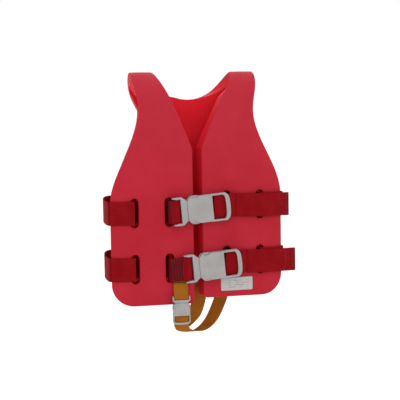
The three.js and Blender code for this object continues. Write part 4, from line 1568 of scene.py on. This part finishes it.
@dataclass
class Buckle:
    """A side-release buckle: socket with adjuster, plug and two release arms."""

    key: str
    sizes: BuckleSizes
    place: Matrix  # carries the buckle's own frame to the row frame
    palette: Palette
    ribs: RibTree
    arms: tuple[str, str]
    socket_body: str
    plug_body: str
    arm_bodies: tuple[str, str]
    rib_count: int = 6
    rib_start: float = 0.0085  # mouth to the first rib
    rib_pitch: float = 0.0018
    rib_lift: float = 0.001  # above the socket's side
    rib_radius: float = 0.00045
    rib_length: float = 0.0052

    @property
    def soft(self) -> float:
        """Radius of the moulding's edges."""
        return 0.0008 * self.sizes.scale

    def moulded(self, node: str, name: str) -> bpy.types.Object:
        """A CAD node's shape with its facets merged and its edges rounded."""
        work = bmesh.new()
        work.from_mesh(frame["nodes"][node].data)
        bmesh.ops.remove_doubles(work, verts=work.verts, dist=SAME_SPOT)
        bmesh.ops.dissolve_limit(work, angle_limit=math.radians(2), verts=work.verts,
                                 edges=work.edges)
        sharp = [e for e in work.edges
                 if len(e.link_faces) == 2 and e.calc_face_angle(0) > math.radians(25)]
        bmesh.ops.bevel(work, geom=sharp, offset=self.soft, segments=3, profile=0.5,
                        affect="EDGES", clamp_overlap=True)
        bmesh.ops.recalc_face_normals(work, faces=work.faces)
        for face in work.faces:
            face.smooth = True
        for edge in work.edges:
            edge.smooth = edge.calc_face_angle(0) < math.radians(40)
        mesh = written(work, bpy.data.meshes.new(name))
        return linked(name, mesh, self.palette.plastic)

    def build(self) -> None:
        """Builds the four mouldings and the ribs on them."""
        for part, body, side in (
                ("socket", self.socket_body, 0), ("plug", self.plug_body, 0),
                (self.arms[0], self.arm_bodies[0], 1), (self.arms[1], self.arm_bodies[1], -1)):
            node = f"{self.key}_{part}"
            rides(self.moulded(node, f"{node}_moulding"), body, Slot.PLASTIC, node)
            if side:
                self.grip(f"{node}_grip", side, body)

    def grip(self, name: str, side: int, body: str) -> None:
        """Ribs across one release pad.

        Args:
            name: the piece's name.
            side: 1 for the pad that points to the buckle's own +Z, -1 for the other.
            body: the body that the pad belongs to.
        """
        scale, stretch = self.sizes.scale, self.sizes.stretch
        edge = side * (self.sizes.body_half + self.rib_lift * scale)
        spots = [self.place @ Vector(((self.rib_start + self.rib_pitch * i) * stretch, 0, edge))
                 for i in range(self.rib_count)]
        ribs = self.ribs.ribs(name, spots, self.rib_radius * scale, self.rib_length * scale,
                              self.palette.plastic)
        rides(ribs, body, Slot.PLASTIC)


# ---------------------------------------------------------------- crotch strap


@dataclass
class CrotchStrap:
    """The adjustable strap from the lower belt under the wearer to the back."""

    plan: VestPlan
    palette: Palette
    thread: StitchTree
    width: float = 0.025
    thickness: float = 0.0013
    buckle_lift: float = 0.006
    belt: float = 0.0016
    parting: float = 0.0075  # the hanger's layers meet this far below the belt
    bedding: float = 0.00025  # how deep the hanger's stitches lie in the webbing
    rear_x: float = 0.070  # where the strap crosses the back's lower belt
    share: float = 0.33  # the front and rear pieces meet here along the free run

    @property
    def sizes(self) -> BuckleSizes:
        """Sizes of the crotch buckle."""
        return BuckleSizes(self.width, self.thickness, 0.62, 0.5)

    @property
    def x(self) -> float:
        """Distance of the buckle's middle from the centre."""
        return middle("crotch_hanger").x

    @property
    def mouth(self) -> float:
        """Height where the plug enters the socket."""
        hinges = [j["pos_m"][2] for j in frame["joints"] if j["name"].startswith("crotch_")
                  and j["name"].endswith("arm_press")]
        return sum(hinges) / len(hinges)

    @property
    def gap(self) -> float:
        """Between a bar and the middle of the webbing round it."""
        return CLEARANCE + self.thickness / 2

    @property
    def place(self) -> Matrix:
        """Carries the crotch buckle's own frame to the row frame."""
        spot = (self.x, -self.plan.face - self.buckle_lift, self.mouth)
        return Matrix.Translation(spot) @ Matrix.Rotation(math.pi / 2, 4, "Y")

    @property
    def foot(self) -> float:
        """Height of the end of the adjuster's frame."""
        return self.mouth - self.sizes.frame_length

    @property
    def over(self) -> float:
        """Foam face to the middle of the webbing in front of the adjuster's bar."""
        return self.buckle_lift + self.gap

    @property
    def under(self) -> float:
        """Foam face to the middle of the webbing behind the adjuster's bar."""
        return self.buckle_lift - self.sizes.gate_floor - self.gap

    @property
    def stitch_half(self) -> float:
        """Centre of the strap to the ends of its rows of stitches."""
        return self.width / 2 - 0.002

    def sew(self, name: str, lines: list[list[Vector]], body: str) -> None:
        """Rows of stitches on the strap."""
        rides(self.thread.sew(name, lines, self.palette.crotch_thread, 0.0025, 0.0007),
              body, Slot.CROTCH)

    def strap(self, name: str, route: list[Vector]) -> bpy.types.Object:
        """One stretch of the strap."""
        tape = Strap(name, route, SIDEWAYS, self.width, self.thickness, columns=6)
        return tape.build(self.palette.crotch)

    def rise(self, pairs: list[tuple[float, float]], radius: float) -> list[Vector]:
        """A route straight up the front from lift and height pairs."""
        corners = [Vector((self.x, -self.plan.face - lift, z)) for lift, z in pairs]
        return rounded(corners, radius)

    def build(self) -> None:
        """Builds the hanger, the two pieces of the run, the free end and the stitches."""
        self.hanger()
        self.run()
        self.free_end()

    def hanger(self) -> None:
        """Webbing from behind the lower belt down round the plug's bar and back up."""
        plan, sizes = self.plan, self.sizes
        behind = FOAM_LIFT + self.thickness / 2
        outside = behind + self.thickness + 0.0007
        back = self.buckle_lift - sizes.plug_bar_half - self.gap
        front = self.buckle_lift + sizes.plug_bar_half + self.gap
        bar_top = self.mouth - sizes.plug_bar[0]
        turn = self.mouth - sizes.plug_bar[1] - self.gap
        edge = self.x - self.width / 2
        foot = plan.lower_fastening + edge * math.tan(plan.tilt) - plan.belt_width / 2
        part = foot - self.parting
        line = self.rise([
            (behind, plan.lower_z + 0.008), (behind, part), (back, bar_top + 0.001),
            (back, turn), (front, turn), (front, bar_top), (outside, part),
            (outside, foot - 0.002)], 0.0015)
        rides(self.strap("crotch_hanger_tape", line), "front_right", Slot.CROTCH,
              "crotch_hanger")
        skin = -plan.face - outside - self.thickness / 2 + self.bedding
        half = self.stitch_half
        rows = [[Vector((self.x + x, skin, part + up)) for x in (-half, half)]
                for up in (0.0015, 0.0045)]
        self.sew("crotch_hanger_stitches", rows, "front_right")

    def free_run(self) -> list[Vector]:
        """The run from the adjuster down and back under the wearer to the lower belt."""
        plan = self.plan
        foot, over, face, hem = self.foot, self.over, plan.face, plan.hem_z
        within = plan.fold - (FOAM_LIFT + self.belt / 2)
        layer = self.belt + CLEARANCE + 0.0001
        corners = [
            (self.x, -face - over, foot - 0.002),
            (self.x + 0.002, -face - over + 0.001, foot - 0.008),
            (self.x + 0.014, -face + 0.002, foot - 0.014), (0.004, -0.024, foot - 0.017),
            (0.028, -0.002, foot - 0.006), (0.046, within - 0.006, hem - 0.018),
            (0.056, within - layer, hem + 0.008), (self.rear_x, within - layer, plan.lower_z),
            (0.072, within - layer, plan.lower_z + 0.015)]
        return catmull([Vector(c) for c in corners])

    def run(self) -> None:
        """The threaded front piece and the rear piece of the strap."""
        foot, over, under = self.foot, self.over, self.under
        turn = self.mouth - self.sizes.gate_bar[0] + self.gap
        threaded = self.rise([(under, foot - 0.001), (under, turn), (over, turn),
                              (over, foot - 0.002)], 0.0014)
        line = self.free_run()
        front = self.strap("crotch_strap_front_tape",
                           threaded[:-1] + part_of(line, 0, self.share))
        low = min(p.z for p in line)
        bends(front, ("front_right", "crotch_socket"),
              (line[int(self.share * len(line))], Vector((self.x, -self.plan.face, foot))),
              Slot.CROTCH, "crotch_strap_front")
        gap = CLEARANCE / path_length(line)
        rear_line = part_of(line, self.share + gap * 0.2, 1)
        rear = self.strap("crotch_strap_rear_tape", rear_line)
        bends(rear, ("back", "front_right"),
              (Vector((0.0, 0.012, low)), rear_line[0]), Slot.CROTCH, "crotch_strap_rear")
        self.rear_stitches(rear_line)

    def rear_stitches(self, line: list[Vector]) -> None:
        """A box of stitches that fixes the strap to the back's lower belt."""
        plan = self.plan
        end = line[-1]
        skin = end.y - self.thickness / 2 - GUIDE_LIFT
        half = self.stitch_half
        low, high = plan.lower_z - 0.012, end.z - 0.002
        lean = (end.x - self.rear_x) / 0.015

        def spot(x: float, z: float) -> Vector:
            """A point on the strap's visible side."""
            return Vector((self.rear_x + (z - plan.lower_z) * lean * 0.5 + x, skin, z))

        lines = [[spot(-half, low), spot(half, low), spot(half, high), spot(-half, high),
                  spot(-half, low)],
                 [spot(-half, low), spot(half, high)], [spot(-half, high), spot(half, low)]]
        self.sew("crotch_rear_stitches", lines, "back")

    def free_end(self) -> None:
        """The strap's free end, turned up behind the buckle inside the fronts."""
        plan, foot, under = self.plan, self.foot, self.under
        within = -plan.fold + 0.005
        face, x = -plan.face, self.x
        corners = [
            (x, face - under, foot - 0.001 - 3 * CLEARANCE),
            (x + 0.001, face - under + 0.0025, foot - 0.005),
            (x + 0.008, face + 0.010, foot - 0.005), (-0.006, face + 0.024, foot + 0.008),
            (0.005, within, plan.hem_z - 0.003), (0.009, within, plan.hem_z + 0.038)]
        line = catmull([Vector(c) for c in corners])
        piece = self.strap("crotch_tail_tape", line)
        rides(piece, "crotch_socket", Slot.CROTCH, "crotch_tail")
        tip = line[-1]
        half = self.stitch_half
        skin = tip.y - self.thickness / 2 - GUIDE_LIFT
        rows = [[Vector((tip.x + x, skin, tip.z - down)) for x in (-half, half)]
                for down in (0.003, 0.012)]
        self.sew("crotch_tail_stitches", rows, "crotch_socket")


# ---------------------------------------------------------------- label


@dataclass
class CareLabel:
    """A small blank tape label sewn to the left front."""

    palette: Palette
    thread: StitchTree
    border: float = 0.0022  # edge to the row of stitches
    corner: float = 0.0015
    columns: int = 36
    rows: int = 18
    puff: float = 0.0004  # how far its middle stands out
    ripple: float = 0.00025
    ripple_scale: float = 90

    def build(self) -> None:
        """Builds the label as a thin closed sheet with soft corners and its border stitches."""
        low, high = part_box("label")
        width, height, corner = high.x - low.x, high.z - low.z, self.corner
        columns, rows, fine = self.columns, self.rows, self.ripple_scale
        work = bmesh.new()
        uv = work.loops.layers.uv.new("weave")
        skins = []
        for front in (True, False):
            grid = []
            for j in range(rows + 1):
                line = []
                for i in range(columns + 1):
                    u, v = i / columns, j / rows
                    x, z = low.x + u * width, low.z + v * height
                    bulge = self.ripple * noise.noise(Vector((x * fine, z * fine, 4.0)))
                    puff = self.puff * min(1, 8 * min(u * (1 - u), v * (1 - v)) * 2)
                    y = (low.y - puff + bulge) if front else high.y
                    at_corner = max(0, corner - min(u, 1 - u) * width) * max(
                        0, corner - min(v, 1 - v) * height) / corner
                    x += at_corner * (0.5 if u < 0.5 else -0.5)
                    z += at_corner * (0.5 if v < 0.5 else -0.5)
                    line.append(work.verts.new((x, y, z)))
                grid.append(line)
            skins.append(grid)
            for j in range(rows):
                for i in range(columns):
                    corners = [(j, i), (j, i + 1), (j + 1, i + 1), (j + 1, i)]
                    turned = corners if front else corners[::-1]
                    face = work.faces.new([grid[a][b] for a, b in turned])
                    for loop, (a, b) in zip(face.loops, turned):
                        loop[uv].uv = (b / columns, a / rows)
        walk = ([(0, i) for i in range(columns)] + [(j, columns) for j in range(rows)]
                + [(rows, columns - i) for i in range(columns)]
                + [(rows - j, 0) for j in range(rows)])
        for (a, b), (c, d) in zip(walk, walk[1:] + walk[:1]):
            face = work.faces.new([skins[0][a][b], skins[1][a][b], skins[1][c][d],
                                   skins[0][c][d]])
            for loop in face.loops:
                loop[uv].uv = (0.01, 0.01)
        bmesh.ops.recalc_face_normals(work, faces=work.faces)
        for face in work.faces:
            face.smooth = True
        mesh = written(work, bpy.data.meshes.new("label_tape"))
        rides(linked("label_tape", mesh, self.palette.label), "front_left", Slot.LABEL,
              "label")
        skin, b = low.y - 0.0003, self.border
        loop = [Vector((x, skin, z)) for x, z in (
            (low.x + b, low.z + b), (high.x - b, low.z + b), (high.x - b, high.z - b),
            (low.x + b, high.z - b), (low.x + b, low.z + b))]
        sewn = self.thread.sew("label_stitches", [loop], self.palette.label_thread,
                               0.0022, 0.0006)
        rides(sewn, "front_left", Slot.LABEL)


# ---------------------------------------------------------------- studio


@dataclass
class Studio:
    """Camera, lights, pale surroundings and floor."""

    azimuth: float = -12.0
    elevation: float = 5.37
    roll: float = -0.917
    distance: float = 1.8
    target: Vector = field(default_factory=lambda: Vector((0.013, 0.0, -0.1975)))
    lens: float = 92.95
    floor_drop: float = 0.30
    floor_half: float = 20.0
    lamp_size: float = 1.8
    lamps: tuple[tuple[str, tuple[float, float, float], float], ...] = (
        ("key_light", (1.0, -2.3, 1.5), 8), ("fill_light", (-1.6, -2.0, 0.5), 2),
        ("back_light", (0.4, 2.2, 1.4), 8))  # name, place and power

    def camera(self) -> None:
        """Makes the camera and gives it to the scene."""
        a, e = math.radians(self.azimuth), math.radians(self.elevation)
        back = Vector((math.sin(a) * math.cos(e), -math.cos(a) * math.cos(e), math.sin(e)))
        data = bpy.data.cameras.new("camera")
        data.lens, data.sensor_width = self.lens, 36.0
        data.clip_start, data.clip_end = 0.05, 60.0
        camera = linked("camera", data)
        camera.location = self.target + back * self.distance
        look = (-back).to_track_quat("-Z", "Y").to_matrix().to_4x4()
        turned = look @ Matrix.Rotation(math.radians(self.roll), 4, "Z")
        camera.rotation_mode = "QUATERNION"
        camera.rotation_quaternion = turned.to_quaternion()
        bpy.context.scene.camera = camera

    def lamp(self, name: str, spot: tuple[float, float, float], power: float) -> None:
        """A square soft light that faces the vest."""
        data = bpy.data.lights.new(name, "AREA")
        data.size, data.energy = self.lamp_size, power
        lamp = linked(name, data)
        lamp.location = spot
        heading = self.target - Vector(spot)
        lamp.rotation_mode = "QUATERNION"
        lamp.rotation_quaternion = heading.to_track_quat("-Z", "Y")

    def lights(self) -> None:
        """Soft light from all round with a gentle key from the upper left."""
        world = bpy.data.worlds.new("pale_surround")
        bpy.context.scene.world = world
        world.use_nodes = True
        shade = world.node_tree.nodes["Background"]
        shade.inputs[0].default_value = (1.0, 1.0, 1.0, 1.0)
        shade.inputs[1].default_value = 1.0
        for name, spot, power in self.lamps:
            self.lamp(name, spot, power)
        data = bpy.data.lights.new("floor_light", "SUN")
        data.energy, data.angle = 0.6, math.radians(60)
        linked("floor_light", data)
        bpy.context.scene.view_settings.view_transform = "Standard"

    def floor(self, palette: Palette) -> None:
        """A wide pale floor well below the vest."""
        z = CAD_BOX[0].z - self.floor_drop
        half = self.floor_half
        mesh = bpy.data.meshes.new("floor")
        mesh.from_pydata([(-half, -half, z), (half, -half, z), (half, half, z),
                          (-half, half, z)], [], [(0, 1, 2, 3)])
        linked("floor", mesh, palette.floor)


# ---------------------------------------------------------------- assembly


def main() -> None:
    """Builds the studio, then every sub-assembly in order."""
    logging.basicConfig(level=logging.INFO, format="%(name)s: %(message)s")
    plan = VestPlan.read()
    studio = Studio()
    studio.camera()
    palette, thread, ribs = Palette(), StitchTree(), RibTree()
    crotch = CrotchStrap(plan, palette, thread)
    crotch.build()
    for part in Part:
        FoamSheet(part, plan).build(palette)
    for key, overhang in (("upper", 0.011), ("lower", 0.023)):
        belt = Belt(key, plan, overhang, palette, thread)
        belt.build()
        spot = Matrix.Translation((belt.mouth, -plan.face - belt.buckle_lift, 0))
        Buckle(f"{key}_buckle", belt.buckle, belt.tilted @ spot, palette, ribs,
               ("top_arm", "bottom_arm"), "front_left", f"{key}_plug",
               (f"{key}_top_arm", f"{key}_bottom_arm")).build()
    Buckle("crotch_buckle", crotch.sizes, crotch.place, palette, ribs,
           ("left_arm", "right_arm"), "crotch_socket", "front_right",
           ("crotch_left_arm", "crotch_right_arm")).build()
    CareLabel(palette, thread).build()
    studio.lights()
    studio.floor(palette)


if __name__ == "__main__":
    main()
